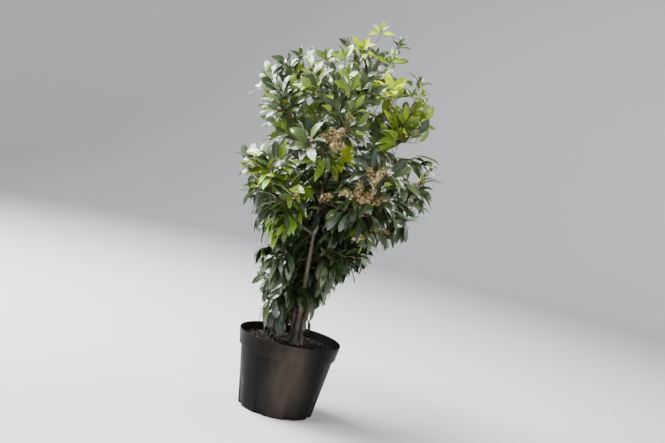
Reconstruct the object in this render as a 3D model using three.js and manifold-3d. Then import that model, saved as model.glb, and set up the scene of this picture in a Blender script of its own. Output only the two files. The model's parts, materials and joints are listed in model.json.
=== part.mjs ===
// A potted Portuguese laurel: a bushy evergreen shrub of six stems from one stool, in a round nursery pot.
// Millimetres, +Z up. The origin is the centre of the pot's flat underside, and -Y is the side seen first.
// The shrub's own numbers are counted from the middle of its stool, SHRUB_PLACE to the right of that origin.
// Every stem runs from the stool to its tip. Its lower part is a bare bough, and its upper part carries the
// twigs and leaves of one mass of foliage, which keeps to its own share of the crown.
import * as THREE from 'three';
import { mergeVertices } from 'three/addons/utils/BufferGeometryUtils.js';
import Module from 'manifold-3d';

const wasm = await Module();
wasm.setup();

// Driving dimensions of the pot
const POT_HEIGHT = 225;
const POT_RIM_RADIUS = 153;
const POT_BASE_RADIUS = 113;
const WALL_TOP_RADIUS = 147;
const POT_WALL = 3;
const POT_FLOOR = 4;
const BAND_HEIGHT = 46;
const BAND_STEP = 6;
const POT_SIDES = 30;
const DRAIN_SLOTS = 8;
const DRAIN_SLOT = { width: 26, height: 9, depth: 13 };

// Driving dimensions of the soil and the stool
const SOIL_LEVEL = 204;
const SOIL_EDGE_DROP = 5;
const SHRUB_PLACE = 15;
const STOOL_HEIGHT = 54;
const STOOL_RADIUS = 20;
const STOOL_FLARE = 31;
const GAP = 0.36;

// The crown's outline: height, sideways shift of its middle, and half its width there
const PLANT_TOP = 1190;
const OUTLINE = [
  [240, -20, 70], [300, -25, 105], [345, -36, 132], [455, -8, 170], [520, 6, 208], [600, 12, 266],
  [680, 12, 318], [760, 20, 330], [880, 4, 306], [1000, -16, 272], [1060, -4, 216], [1120, 22, 146],
  [1165, 32, 88], [PLANT_TOP, 45, 24],
];
const CROWN_DEPTH = 0.94;

// The leader in the middle, and one shoot that comes up beside it from the stool
const LEADER = {
  bend: [-14, 6, 700], tip: [34, -4, 1098], thick: 6, wander: 7, seed: 11, site: [14, 0, 955], twigs: 11,
};
const FOOT_SHOOT = {
  start: [-8, -8, 238], bend: [-44, -40, 300], tip: [-78, -58, 352], thick: 4, wander: 2, seed: 60,
  site: [-80, -72, 315], twigs: 6,
};

// The rings of limbs round the leader. The limbs of a ring stand at the azimuths first, first + step and
// so on. Each bends and ends at a radius and height, and site is the middle of its mass's share of the
// crown. A stem rises from the stool. A shoot leaves, at the part from of its length, the stem that stands
// parent places on.
const RINGS = [
  {
    name: 'stem', count: 5, first: 50, step: 72, bend: [60, 640], tip: [200, 1000], site: [184, 862],
    thick: 7, wander: 8, twigs: 10,
  },
  {
    name: 'high_shoot', count: 5, first: 14, step: 72, bend: [150, 590], tip: [246, 716], site: [212, 655],
    thick: 4.6, wander: 5, twigs: 9, from: 0.36, parent: 0,
  },
  {
    name: 'low_shoot', count: 5, first: -42, step: 66, bend: [56, 372], tip: [108, 470], site: [112, 446],
    thick: 4.2, wander: 4, twigs: 10, from: 0.15, parent: 4,
  },
];
const LIMB_TIP = 2.5;
const STOOL_RING = 14;
const RING_TILT = 20;
const RING_SPREAD = { azimuth: 10, height: 50, fork: 0.03 };

// Where a bough ends, and how clear a mass keeps of the walls of its share and of the pot
const SHORTEST_BOUGH = 0.3;
const SHARE_MARGIN = 8;
const SHARE_GAP = 1.4;
const POT_CLEARANCE = 8;

// Twigs: those near the foot of a mass stand wide of its stem, and those near its tip stand close to it
const TWIG_RADIUS = 2.6;
const TWIG_TAPER = 0.7;
const SHORTEST_TWIG = 34;
const LONGEST_TWIG = 230;
const TWIG_SPREAD = { foot: 78, tip: 34, wander: 14 };
const TWIG_FEET = { first: 0.06, span: 0.9 };
const TWIG_LIFT = { level: 560, range: 1600, least: -0.12, most: 0.22 };
const TWIG_RISE = 0.1;
const TIP_ROOM = { upright: 0.72, hanging: 0.4 };
const LONG_TWIG = 90;
const TIP_TWIG = 12;
const MOST_INWARD = 0.45;
const GOLDEN_ANGLE = THREE.MathUtils.degToRad(137.508);
const UP = new THREE.Vector3(0, 0, 1);

// Leaves: fewer than the real plant's and larger, each a folded blade whose tip droops
const LEAF = { length: 114, width: 50, thickness: 2.6, fold: 0.16, belly: 0.44, droop: 0.1 };
const LEAF_SCALE = { least: 0.86, spread: 0.24 };
const LEAF_EVERY = 26;
const LEAF_SPAN = { first: 0.3, last: 0.97 };
const STEM_LEAF_EVERY = 34;
const STEM_ID = 50;
const LEAF_OUT = { side: 0.75, last: 1.9, ring: 0.85 };
const LEAF_TRIES = 10;
const LEAF_RETURN = 0.63;
const LEAF_CLEARANCE = 12;
const LIMB_CLEARANCE = 9;
const ROOT_SINK = 0.5;
const HANG = { level: 760, range: 520, least: -0.28, most: 0.85 };

// Spikes of blossom: their size, and where on the crown they stand
const SPIKE = { length: 84, core: 2, swell: 9, clearance: 14, lowest: 560, highest: 840, share: 0.3 };

// A repeatable number from 0 to 1 for three whole numbers
function noise(a, b, c) {
  const s = Math.sin(a * 12.9898 + b * 78.233 + c * 37.719) * 43758.5453;
  return s - Math.floor(s);
}

const polar = (radius, degrees, z) => {
  const angle = THREE.MathUtils.degToRad(degrees);
  return new THREE.Vector3(radius * Math.cos(angle), radius * Math.sin(angle), z);
};

// The outline's middle and half width at a height
function outlineAt(z) {
  const last = OUTLINE.length - 1;
  const i = Math.min(last - 1, Math.max(0, OUTLINE.findIndex((row) => row[0] > z) - 1));
  const [low, high] = [OUTLINE[i], OUTLINE[i + 1]];
  const t = THREE.MathUtils.clamp((z - low[0]) / (high[0] - low[0]), 0, 1);
  return [THREE.MathUtils.lerp(low[1], high[1], t), THREE.MathUtils.lerp(low[2], high[2], t)];
}

function inOutline(p) {
  if (p.z < OUTLINE[0][0] || p.z > PLANT_TOP) return false;
  const [middle, half] = outlineAt(p.z);
  return Math.hypot(p.x - middle, p.y / CROWN_DEPTH) < half;
}

// Geometry to solid and back
function solidOf(geometry) {
  const bare = geometry.clone();
  bare.deleteAttribute('normal');
  bare.deleteAttribute('uv');
  const merged = mergeVertices(bare, 1e-3);
  const kept = [];
  const index = merged.index.array;
  for (let i = 0; i < index.length; i += 3) {
    const [a, b, c] = [index[i], index[i + 1], index[i + 2]];
    if (a !== b && b !== c && a !== c) kept.push(a, b, c);
  }
  const vertProperties = new Float32Array(merged.attributes.position.array);
  return new wasm.Manifold(new wasm.Mesh({ numProp: 3, vertProperties, triVerts: new Uint32Array(kept) }));
}

// The main body of a solid, without the scraps that a cut or a skipped root leaves
function largestOf(solid) {
  return solid.decompose().reduce((a, b) => (a.volume() > b.volume() ? a : b));
}

function geometryOf(solid) {
  const { vertProperties, triVerts } = solid.getMesh();
  const geometry = new THREE.BufferGeometry();
  geometry.setAttribute('position', new THREE.BufferAttribute(new Float32Array(vertProperties), 3));
  geometry.setIndex(new THREE.BufferAttribute(new Uint32Array(triVerts), 1));
  geometry.computeVertexNormals();
  return geometry;
}

// A closed tapering limb along a path: a cylinder's rings are carried to the path, from its point at from
// to that at to
function limbGeometry(path, { sides, steps, swell = 0, from = 0, to = 1 }) {
  const geometry = new THREE.CylinderGeometry(1, 1, 1, sides, steps);
  const position = geometry.attributes.position;
  const across = path.at(1).sub(path.at(0));
  const level = Math.hypot(across.x, across.y) > Math.abs(across.z);
  const reference = level ? UP : new THREE.Vector3(1, 0, 0);
  for (let i = 0; i < position.count; i += 1) {
    const t = THREE.MathUtils.lerp(from, to, position.getY(i) + 0.5);
    const tangent = path.along(t);
    const normal = reference.clone().addScaledVector(tangent, -reference.dot(tangent)).normalize();
    const binormal = normal.clone().cross(tangent);
    const radius = path.radius(t) + swell;
    const point = path.at(t);
    point.addScaledVector(normal, position.getX(i) * radius);
    point.addScaledVector(binormal, position.getZ(i) * radius);
    position.setXYZ(i, point.x, point.y, point.z);
  }
  return geometry;
}

// A path from start to end, bent towards bend, with a slight wander, that tapers from thick to thin
function makePath(start, bend, end, thick, thin, wander = 0, seed = 0) {
  const curve = new THREE.QuadraticBezierCurve3(start, bend, end);
  const length = curve.getLength();
  const turn = noise(seed, 1, 7) * 360;
  const at = (t) => {
    const sway = wander * Math.sin(Math.PI * t) * Math.sin(5 * t + turn);
    return curve.getPoint(t).add(polar(sway, turn, 0));
  };
  const along = (t) => at(Math.min(1, t + 0.01)).sub(at(Math.max(0, t - 0.01))).normalize();
  return { at, along, length, radius: (t) => THREE.MathUtils.lerp(thick, thin, t) };
}

const vector = ([x, y, z]) => new THREE.Vector3(x, y, z);

// The stems' paths. Each one names the mass that it feeds and the middle of that mass's share of the crown.
function makeStems() {
  const foot = SOIL_LEVEL + STOOL_HEIGHT - 8;
  const single = (name, start, { bend, tip, thick, wander, seed, site, twigs }) => {
    const path = makePath(start, vector(bend), vector(tip), thick, LIMB_TIP, wander, seed);
    return { name, path, site: vector(site), twigs };
  };
  const stems = [single('leader', new THREE.Vector3(0, 0, foot), LEADER)];
  RINGS.forEach(({ name, count, first, step, bend, tip, site, thick, wander, twigs, from, parent }, ring) => {
    for (let k = 0; k < count; k += 1) {
      const azimuth = first + step * k + RING_SPREAD.azimuth * (noise(k, 2 + ring, 3) - 0.5);
      const tilt = RING_TILT * Math.cos(THREE.MathUtils.degToRad(azimuth)) * (ring === 0 ? -1 : 1);
      const rise = tilt + RING_SPREAD.height * (noise(k, 5 + ring, 1) - 0.5);
      const start = parent === undefined
        ? polar(STOOL_RING, azimuth, foot)
        : stems[1 + ((k + parent) % count)].path.at(from + RING_SPREAD.fork * noise(k, 3, 9));
      const path = makePath(
        start, polar(bend[0], azimuth - 6, bend[1] + tilt), polar(tip[0], azimuth, tip[1] + rise),
        thick, LIMB_TIP, wander, 20 * (ring + 1) + k,
      );
      stems.push({ name: `${name}_${k + 1}`, path, site: polar(site[0], azimuth, site[1] + tilt), twigs });
    }
  });
  stems.push(single('foot_shoot', vector(FOOT_SHOOT.start), FOOT_SHOOT));
  return stems;
}

// How far a point lies inside a mass's own share of the crown: its distance from the nearest wall between
// shares
function depthInShare(p, stems, own) {
  const home = stems[own].site;
  let depth = Infinity;
  stems.forEach(({ site }, i) => {
    if (i === own) return;
    const wall = (p.distanceToSquared(site) - p.distanceToSquared(home)) / (2 * home.distanceTo(site));
    depth = Math.min(depth, wall);
  });
  return depth;
}

// Where along its path a stem enters its own share for good
function entryOf(stems, own) {
  const { path } = stems[own];
  let entry = 0.95;
  while (entry > SHORTEST_BOUGH && depthInShare(path.at(entry), stems, own) > SHARE_MARGIN) entry -= 0.01;
  return entry;
}

// The distance from a point to a limb's surface
function clearOf(p, limb) {
  let best = Infinity;
  for (const { point, radius } of limb.samples) best = Math.min(best, p.distanceTo(point) - radius);
  return best;
}

function samplesOf(path, to) {
  const count = Math.ceil((path.length * to) / 4);
  return Array.from({ length: count + 1 }, (_, i) => {
    const t = (to * i) / count;
    return { point: path.at(t), radius: path.radius(t) };
  });
}

// How far a line from a point stays in the crown and in the mass's own share
function reachFrom(point, direction, stems, own) {
  const step = 5;
  let reach = step;
  const p = point.clone();
  while (reach < LONGEST_TWIG + LEAF.length) {
    p.copy(point).addScaledVector(direction, reach);
    if (!inOutline(p) || depthInShare(p, stems, own) < 2) break;
    reach += step;
  }
  return reach - step;
}

// How much leaves hang at a height: those near the top stand up, and those low down hang
const hangAt = (z) => THREE.MathUtils.clamp((HANG.level - z) / HANG.range, HANG.least, HANG.most);

// A direction square to a tangent, from which turns round it are counted
function acrossOf(tangent) {
  const reference = Math.abs(tangent.x) > 0.7 ? new THREE.Vector3(0, 1, 0) : new THREE.Vector3(1, 0, 0);
  return reference.addScaledVector(tangent, -reference.dot(tangent)).normalize();
}

// The twigs of a mass leave its stem by the golden angle. One that would be short or run inwards is left
// out, and one more stands at the stem's tip.
function twigsOf(stems, own) {
  const { path, entry, twigs } = stems[own];
  const made = [];
  for (let j = 0; j < twigs; j += 1) {
    const share = (j + 0.6) / twigs;
    const t = THREE.MathUtils.lerp(entry, 1, TWIG_FEET.first + TWIG_FEET.span * share);
    const origin = path.at(t);
    const tangent = path.along(t);
    const side = acrossOf(tangent).applyAxisAngle(tangent, GOLDEN_ANGLE * j + 2 * Math.PI * noise(own, 1, 1));
    const degrees = THREE.MathUtils.lerp(TWIG_SPREAD.foot, TWIG_SPREAD.tip, share);
    const spread = THREE.MathUtils.degToRad(degrees + TWIG_SPREAD.wander * (noise(own, j, 2) - 0.5));
    const direction = tangent.clone().multiplyScalar(Math.cos(spread));
    direction.addScaledVector(side, Math.sin(spread));
    const lift = (origin.z - TWIG_LIFT.level) / TWIG_LIFT.range;
    direction.z += THREE.MathUtils.clamp(lift, TWIG_LIFT.least, TWIG_LIFT.most);
    direction.normalize();
    const leafRoom = LEAF.length * (TIP_ROOM.upright - TIP_ROOM.hanging * Math.max(0, hangAt(origin.z)));
    const length = reachFrom(origin, direction, stems, own) - leafRoom;
    const inward = -(origin.x * direction.x + origin.y * direction.y) / (Math.hypot(origin.x, origin.y) + 40);
    if (length < SHORTEST_TWIG || inward > MOST_INWARD) continue;
    made.push({ id: j, origin, direction, length: Math.min(length, LONGEST_TWIG), t });
  }
  const direction = path.along(1);
  const origin = path.at(1).addScaledVector(direction, -TIP_TWIG / 2);
  made.push({ id: twigs, origin, direction, length: TIP_TWIG, t: 1 });
  return made;
}

function twigPath({ origin, direction, length }) {
  const bend = origin.clone().addScaledVector(direction, length * 0.55);
  const end = origin.clone().addScaledVector(direction, length).addScaledVector(UP, length * TWIG_RISE);
  return makePath(origin, bend, end, TWIG_RADIUS, TWIG_RADIUS * TWIG_TAPER);
}

// How a leaf stands: along, the way its tip points, face, the way its upper side looks, and side, its
// breadth
function leafFrame(point, twigWay, turn, out) {
  const ring = new THREE.Vector3(0.3, 0.2, 1).cross(twigWay).normalize();
  ring.applyAxisAngle(twigWay, turn);
  const hang = hangAt(point.z);
  const along = twigWay.clone().multiplyScalar(out).addScaledVector(ring, LEAF_OUT.ring);
  along.addScaledVector(UP, -hang).normalize();
  const outward = new THREE.Vector3(point.x, point.y, 0).normalize();
  const face = UP.clone().addScaledVector(outward, 0.7).addScaledVector(ring, 0.25);
  face.addScaledVector(along, -face.dot(along)).normalize();
  return { along, face, side: along.clone().cross(face) };
}

// A leaf: an octahedron drawn out to a pointed blade with a folded midrib, its root at root
function leafGeometry(root, frame, scale) {
  const geometry = new THREE.OctahedronGeometry(1);
  const position = geometry.attributes.position;
  const length = LEAF.length * scale;
  for (let i = 0; i < position.count; i += 1) {
    const [x, y, z] = [position.getX(i), position.getY(i), position.getZ(i)];
    const run = y > 0.5 ? 1 : y < -0.5 ? 0 : LEAF.belly;
    const lift = Math.abs(x) > 0.5 ? LEAF.fold * LEAF.width * scale : z * 0.5 * LEAF.thickness;
    const point = root.clone().addScaledVector(frame.along, run * length);
    point.addScaledVector(frame.side, x * 0.5 * LEAF.width * scale);
    point.addScaledVector(frame.face, lift - (run === 1 ? LEAF.droop * length : 0));
    position.setXYZ(i, point.x, point.y, point.z);
  }
  return geometry;
}

// Points spread over a leaf, for the tests of what it may not touch
function leafProbes(root, frame, scale) {
  const probes = [];
  for (let i = 1; i <= 6; i += 1) {
    const run = i / 6;
    const half = 0.5 * LEAF.width * scale * Math.min(run / LEAF.belly, (1 - run) / (1 - LEAF.belly));
    for (const x of [-1, 0, 1]) {
      const point = root.clone().addScaledVector(frame.along, run * LEAF.length * scale);
      point.addScaledVector(frame.side, x * half);
      const lift = Math.abs(x) * LEAF.fold * 2 * half - run * run * LEAF.droop * LEAF.length * scale;
      point.addScaledVector(frame.face, lift);
      probes.push(point);
    }
  }
  return probes;
}

// A spike of blossom: a swelling spindle that goes on from the end of a twig
function spikePath(start, direction) {
  const { length, core, swell } = SPIKE;
  const bend = start.clone().addScaledVector(direction, length * 0.5);
  const end = start.clone().addScaledVector(direction, length).addScaledVector(UP, 0.12 * length);
  const path = makePath(start, bend, end, 1, 1);
  path.radius = (t) => core + swell * Math.sin(Math.PI * Math.min(1, 0.12 + 0.88 * t)) ** 0.6;
  return path;
}

// Some of the twigs that face outwards at the middle of the crown end in blossom
function hasBlossom(own, { origin, direction, id, t }) {
  if (t === 1 || origin.z < SPIKE.lowest || origin.z > SPIKE.highest) return false;
  const outward = new THREE.Vector3(origin.x, origin.y, 0).normalize();
  return outward.dot(direction) > 0.25 && noise(own, id, 31) < SPIKE.share;
}

// Whether something stays in a mass's own share, above the pot and clear of all limbs
function fits(probes, clearance, stems, own, limbs) {
  return probes.every((p) => (
    depthInShare(p, stems, own) > SHARE_GAP && p.z > POT_HEIGHT + POT_CLEARANCE
    && limbs.every((limb) => clearOf(p, limb) > clearance)
  ));
}

// Whether no point of one set comes near one of the other
const apart = (probes, others, distance) => (
  probes.every((p) => others.every((q) => p.distanceTo(q) > distance))
);

// The leaves of a twig or stem, by the golden angle along it. One that does not fit, or that would cross
// what is in taken, is turned on, and then skipped.
function leavesOf({ id, wood, from, count }, taken, stems, own, limbs) {
  const made = [];
  for (let i = 0; i < count; i += 1) {
    const t = THREE.MathUtils.lerp(from, LEAF_SPAN.last, i / (count - 1));
    const scale = LEAF_SCALE.least + LEAF_SCALE.spread * noise(own, id, 10 + i);
    const out = i === count - 1 ? LEAF_OUT.last : LEAF_OUT.side;
    for (let attempt = 0; attempt < LEAF_TRIES; attempt += 1) {
      const turn = GOLDEN_ANGLE * (i + 1) + 2 * Math.PI * noise(own, id, 3) + LEAF_RETURN * attempt;
      const frame = leafFrame(wood.at(t), wood.along(t), turn, out);
      const root = wood.at(t).addScaledVector(frame.along, -ROOT_SINK);
      const probes = leafProbes(root, frame, scale);
      if (!fits(probes, LIMB_CLEARANCE, stems, own, limbs) || !apart(probes, taken, LEAF_CLEARANCE)) continue;
      taken.push(...probes);
      made.push(solidOf(leafGeometry(root, frame, scale)));
      break;
    }
  }
  return made;
}

// The twigs of a mass that fit, each with its path and its number of leaves
function fittingTwigs(stems, own, limbs) {
  const probes = (wood) => [0.25, 0.5, 0.75, 1].map((t) => wood.at(t));
  return twigsOf(stems, own).map((twig) => {
    const count = THREE.MathUtils.clamp(Math.round(twig.length / LEAF_EVERY) + 1, 3, 8);
    return { ...twig, wood: twigPath(twig), from: LEAF_SPAN.first, count };
  }).filter(({ wood }) => fits(probes(wood), TWIG_RADIUS + 1, stems, own, limbs));
}

// One mass of foliage: its stem, twigs, leaves and blossom in one solid
function massSolid(stems, own, limbs) {
  const { path, entry } = stems[own];
  const from = entry + GAP / path.length;
  const fused = [solidOf(limbGeometry(path, { sides: 5, steps: 5, from }))];
  const twigs = fittingTwigs(stems, own, limbs);
  for (const { wood, length } of twigs) {
    fused.push(solidOf(limbGeometry(wood, { sides: 3, steps: length > LONG_TWIG ? 2 : 1 })));
  }
  const taken = [];
  for (const twig of twigs) {
    fused.push(...leavesOf(twig, taken, stems, own, limbs));
    if (!hasBlossom(own, twig)) continue;
    const spike = spikePath(twig.wood.at(0.9), twig.wood.along(1));
    const probes = [0.3, 0.6, 1].map((t) => spike.at(t));
    if (!fits(probes, SPIKE.clearance, stems, own, limbs)) continue;
    fused.push(solidOf(limbGeometry(spike, { sides: 6, steps: 4 })));
  }
  const count = Math.round((path.length * (1 - entry)) / STEM_LEAF_EVERY) + 1;
  const stemLeaves = { id: STEM_ID, wood: path, from: THREE.MathUtils.lerp(entry, 1, 0.08), count };
  fused.push(...leavesOf(stemLeaves, taken, stems, own, limbs));
  return largestOf(wasm.Manifold.union(fused));
}

// The pot: a turned shell with a stepped rim band, and drain slots through its bottom edge
function wallRadius(z) {
  return THREE.MathUtils.lerp(POT_BASE_RADIUS, WALL_TOP_RADIUS, z / POT_HEIGHT);
}

function potInside() {
  const shoulder = POT_HEIGHT - BAND_HEIGHT;
  return [
    [0, POT_FLOOR],
    [wallRadius(POT_FLOOR) - POT_WALL, POT_FLOOR],
    [wallRadius(shoulder - 4) - POT_WALL, shoulder - 4],
    [wallRadius(shoulder) + BAND_STEP - POT_WALL, shoulder + 3],
    [POT_RIM_RADIUS - POT_WALL - 1, POT_HEIGHT - 3],
  ];
}

function potSolid() {
  const shoulder = POT_HEIGHT - BAND_HEIGHT;
  const outside = [
    [0, 0],
    [POT_BASE_RADIUS - 3, 0],
    [POT_BASE_RADIUS, 3],
    [wallRadius(shoulder - 1), shoulder - 1],
    [wallRadius(shoulder) + BAND_STEP, shoulder],
    [POT_RIM_RADIUS - 1, POT_HEIGHT - 2],
    [POT_RIM_RADIUS - 2, POT_HEIGHT],
    [POT_RIM_RADIUS - POT_WALL, POT_HEIGHT],
  ];
  const profile = [...outside, ...potInside().reverse()].map(([r, z]) => new THREE.Vector2(r, z));
  const shell = new THREE.LatheGeometry(profile, POT_SIDES);
  shell.rotateX(Math.PI / 2);
  let solid = solidOf(shell);
  for (let k = 0; k < DRAIN_SLOTS; k += 1) {
    const slot = new THREE.BoxGeometry(DRAIN_SLOT.depth, DRAIN_SLOT.width, DRAIN_SLOT.height + 2);
    slot.translate(POT_BASE_RADIUS - DRAIN_SLOT.depth / 2 + 3, 0, DRAIN_SLOT.height / 2 - 1);
    slot.rotateZ((2 * Math.PI * (k + 0.5)) / DRAIN_SLOTS);
    solid = solid.subtract(solidOf(slot));
  }
  return solid;
}

// The soil fills the pot to just below its rim
function soilSolid() {
  const edge = SOIL_LEVEL - SOIL_EDGE_DROP;
  const [, foot, low, high, rim] = potInside();
  const edgeRadius = THREE.MathUtils.mapLinear(edge, high[1], rim[1], high[0], rim[0]);
  const profile = [
    [0, POT_FLOOR + GAP], [foot[0] - GAP, POT_FLOOR + GAP], [low[0] - GAP, low[1] + 1],
    [high[0] - GAP, high[1] + 1], [edgeRadius - GAP, edge], [90, SOIL_LEVEL - 2], [48, SOIL_LEVEL],
    [0, SOIL_LEVEL],
  ].map(([r, z]) => new THREE.Vector2(r, z));
  const body = new THREE.LatheGeometry(profile, POT_SIDES);
  body.rotateX(Math.PI / 2);
  return solidOf(body);
}

// The stool: a short trunk with a root flare, from its flat cut at the soil to its rounded top
function stoolPath() {
  const foot = SOIL_LEVEL + GAP;
  const path = makePath(
    new THREE.Vector3(0, 0, foot), new THREE.Vector3(0, 0, foot + STOOL_HEIGHT / 2),
    new THREE.Vector3(0, 0, foot + STOOL_HEIGHT), 1, 1,
  );
  path.radius = (t) => {
    const flare = (STOOL_FLARE - STOOL_RADIUS) * (1 - Math.min(1, t / 0.55)) ** 2;
    const crown = t > 0.8 ? 7 * ((t - 0.8) / 0.2) ** 2 : 0;
    return STOOL_RADIUS + flare - crown;
  };
  return path;
}

// Colours
const barkFinish = new THREE.MeshStandardMaterial({ color: 0x6b5a48, roughness: 0.85, metalness: 0 });
const leafFinish = new THREE.MeshStandardMaterial({ color: 0x2f4a22, roughness: 0.35, metalness: 0 });
const potFinish = new THREE.MeshStandardMaterial({ color: 0x26272a, roughness: 0.55, metalness: 0 });
const soilFinish = new THREE.MeshStandardMaterial({ color: 0x2a1d16, roughness: 0.95, metalness: 0 });

function place(group, name, solid, material) {
  const mesh = new THREE.Mesh(geometryOf(solid), material.clone());
  mesh.name = name;
  group.add(mesh);
}

// The whole plant, with the shrub a little to the right of its pot's middle
function buildPlant() {
  const plant = new THREE.Group();
  place(plant, 'pot', potSolid(), potFinish);
  place(plant, 'soil', soilSolid(), soilFinish);
  const shrub = new THREE.Group();
  shrub.position.x = SHRUB_PLACE;
  plant.add(shrub);
  const stool = stoolPath();
  const stoolShape = { sides: 13, steps: 7 };
  place(shrub, 'trunk', solidOf(limbGeometry(stool, stoolShape)), barkFinish);
  const stoolRoom = solidOf(limbGeometry(stool, { ...stoolShape, swell: GAP }));

  const stems = makeStems();
  stems.forEach((stem, own) => { stem.entry = entryOf(stems, own); });
  const limbs = stems.map(({ path, entry }) => ({ samples: samplesOf(path, entry) }));
  const rooms = [stoolRoom];
  for (const { name, path, entry } of stems) {
    const shape = { sides: 7, steps: Math.max(2, Math.round((path.length * entry) / 80)), to: entry };
    const whole = solidOf(limbGeometry(path, shape));
    const cut = rooms.reduce((solid, room) => solid.subtract(room), whole);
    place(shrub, `${name}_bough`, largestOf(cut), barkFinish);
    rooms.push(solidOf(limbGeometry(path, { ...shape, swell: GAP })));
  }
  stems.forEach(({ name }, own) => {
    place(shrub, `${name}_foliage`, massSolid(stems, own, limbs), leafFinish);
  });
  return plant;
}

export default buildPlant();
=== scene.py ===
# The looks of a potted Portuguese laurel: a bushy shrub of six stems in a round black nursery pot.
# The plant grows here by the rule of the part's source, and is carried on to shoots, leaves and flowers.
# Lengths are in millimetres, as in that source, and each mesh is made in metres. The origin is the centre of
# the pot's flat underside, and -Y is the side that the camera sees. The shrub's own numbers are counted from
# the middle of its stool, SHRUB_PLACE to the right of that origin.
import json
import math
from dataclasses import dataclass

import bmesh
import bpy
import numpy as np
from mathutils import Matrix, Vector
from mathutils import noise as perlin

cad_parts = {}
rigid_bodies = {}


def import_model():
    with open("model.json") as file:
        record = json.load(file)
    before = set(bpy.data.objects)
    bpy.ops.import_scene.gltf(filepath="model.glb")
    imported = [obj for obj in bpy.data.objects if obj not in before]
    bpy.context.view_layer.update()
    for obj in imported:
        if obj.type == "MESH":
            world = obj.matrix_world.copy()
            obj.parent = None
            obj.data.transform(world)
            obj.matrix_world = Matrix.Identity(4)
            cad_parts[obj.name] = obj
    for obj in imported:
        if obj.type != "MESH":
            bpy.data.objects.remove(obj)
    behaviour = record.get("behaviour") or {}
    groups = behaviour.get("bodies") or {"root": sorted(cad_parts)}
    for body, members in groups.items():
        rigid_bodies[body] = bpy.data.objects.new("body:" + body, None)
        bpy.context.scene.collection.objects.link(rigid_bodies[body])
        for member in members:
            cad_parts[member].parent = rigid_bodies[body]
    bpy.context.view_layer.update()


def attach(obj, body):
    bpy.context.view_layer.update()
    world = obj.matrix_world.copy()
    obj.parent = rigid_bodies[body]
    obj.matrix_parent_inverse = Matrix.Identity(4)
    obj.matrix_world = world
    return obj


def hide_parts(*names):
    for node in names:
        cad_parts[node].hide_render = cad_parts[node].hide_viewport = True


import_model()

MM = 0.001
UP = np.array([0.0, 0.0, 1.0])
LEVEL = np.array([1.0, 1.0, 0.0])
TURN = 2 * math.pi
GOLDEN_ANGLE = math.radians(137.508)

# The camera, at the photograph's height and distance. Its roll gives the shrub's lean in the photograph.
CAMERA = {"place": (15, -2520, 760), "aim": (49, 0, 586), "lens": 46, "roll": 12.5}

# The pot
POT_HEIGHT = 225
POT_RIM_RADIUS = 153
POT_BASE_RADIUS = 113
WALL_TOP_RADIUS = 147
POT_WALL = 3
POT_FLOOR = 4
BAND_HEIGHT = 46
BAND_STEP = 6
DRAIN_SLOTS = 8
DRAIN_SLOT = {"width": 26, "height": 9}
FLUTE = {"width": 27, "height": 78, "depth": 2.2, "edge": 3, "upper_edge": 12, "arch": 0.02}

# The soil and the stool, the short trunk that all stems rise from
SOIL_LEVEL = 204
SOIL_EDGE_DROP = 5
SHRUB_PLACE = 15
STOOL_HEIGHT = 54
STOOL_FLARE = 31
STEM_SINK = 8

# The crown's outline: height, sideways shift of its middle, and half its width there
PLANT_TOP = 1190
OUTLINE = np.array([
    (240, -20, 70), (300, -25, 105), (345, -36, 132), (455, -8, 170), (520, 6, 208), (600, 12, 266),
    (680, 12, 318), (760, 20, 330), (880, 4, 306), (1000, -16, 272), (1060, -4, 216), (1120, 22, 146),
    (1165, 32, 88), (PLANT_TOP, 45, 24),
], float)
CROWN_DEPTH = 0.94

# The leader, the shoot at its foot, and the rings of limbs round it, as the source has them
LEADER = {
    "bend": (-14, 6, 700), "tip": (34, -4, 1098), "thick": 6, "wander": 7, "seed": 11,
    "site": (14, 0, 955), "twigs": 11,
}
FOOT_SHOOT = {
    "start": (-8, -8, 238), "bend": (-44, -40, 300), "tip": (-78, -58, 352), "thick": 4, "wander": 2,
    "seed": 60, "site": (-80, -72, 315), "twigs": 6,
}
RINGS = [
    {"name": "stem", "count": 5, "first": 50, "step": 72, "bend": (60, 640), "tip": (200, 1000),
     "site": (184, 862), "thick": 7, "wander": 8, "twigs": 10},
    {"name": "high_shoot", "count": 5, "first": 14, "step": 72, "bend": (150, 590), "tip": (246, 716),
     "site": (212, 655), "thick": 4.6, "wander": 5, "twigs": 9, "from": 0.36, "parent": 0},
    {"name": "low_shoot", "count": 5, "first": -42, "step": 66, "bend": (56, 372), "tip": (108, 470),
     "site": (112, 446), "thick": 4.2, "wander": 4, "twigs": 10, "from": 0.15, "parent": 4},
]
LIMB_TIP = 2.5
STOOL_RING = 14
RING_TILT = 20
RING_SPREAD = {"azimuth": 10, "height": 50, "fork": 0.03}
BOUGH = {"shortest": 0.3, "longest": 0.95, "step": 0.01}
LIMB_STEP = 4
SHARE_MARGIN = 8
SHARE_GAP = 1.4
REACH = {"step": 5.0, "gap": 2}
POT_CLEARANCE = 8

# The source's twigs and its large leaves. Here a leaf of the source only marks where a spray stands.
TWIG_RADIUS = 2.6
TWIG_TAPER = 0.7
SHORTEST_TWIG = 34
LONGEST_TWIG = 230
TWIG_SPREAD = {"foot": 78, "tip": 34, "wander": 14}
TWIG_BEND = 0.55
TWIG_FEET = {"first": 0.06, "span": 0.9, "shift": 0.6}
TWIG_LIFT = {"level": 560, "range": 1600, "least": -0.12, "most": 0.22}
TWIG_RISE = 0.1
TIP_ROOM = {"upright": 0.72, "hanging": 0.4}
TIP_TWIG = 12
INWARD = {"most": 0.45, "spare": 40}
MARK = {"length": 114, "width": 50, "fold": 0.16, "belly": 0.44, "droop": 0.1}
MARK_SCALE = {"least": 0.86, "spread": 0.24}
MARK_EVERY = 26
STEM_MARK_EVERY = 34
MARK_SPAN = {"first": 0.3, "stem": 0.08, "last": 0.97}
MARK_COUNT = {"least": 3, "most": 8}
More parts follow.
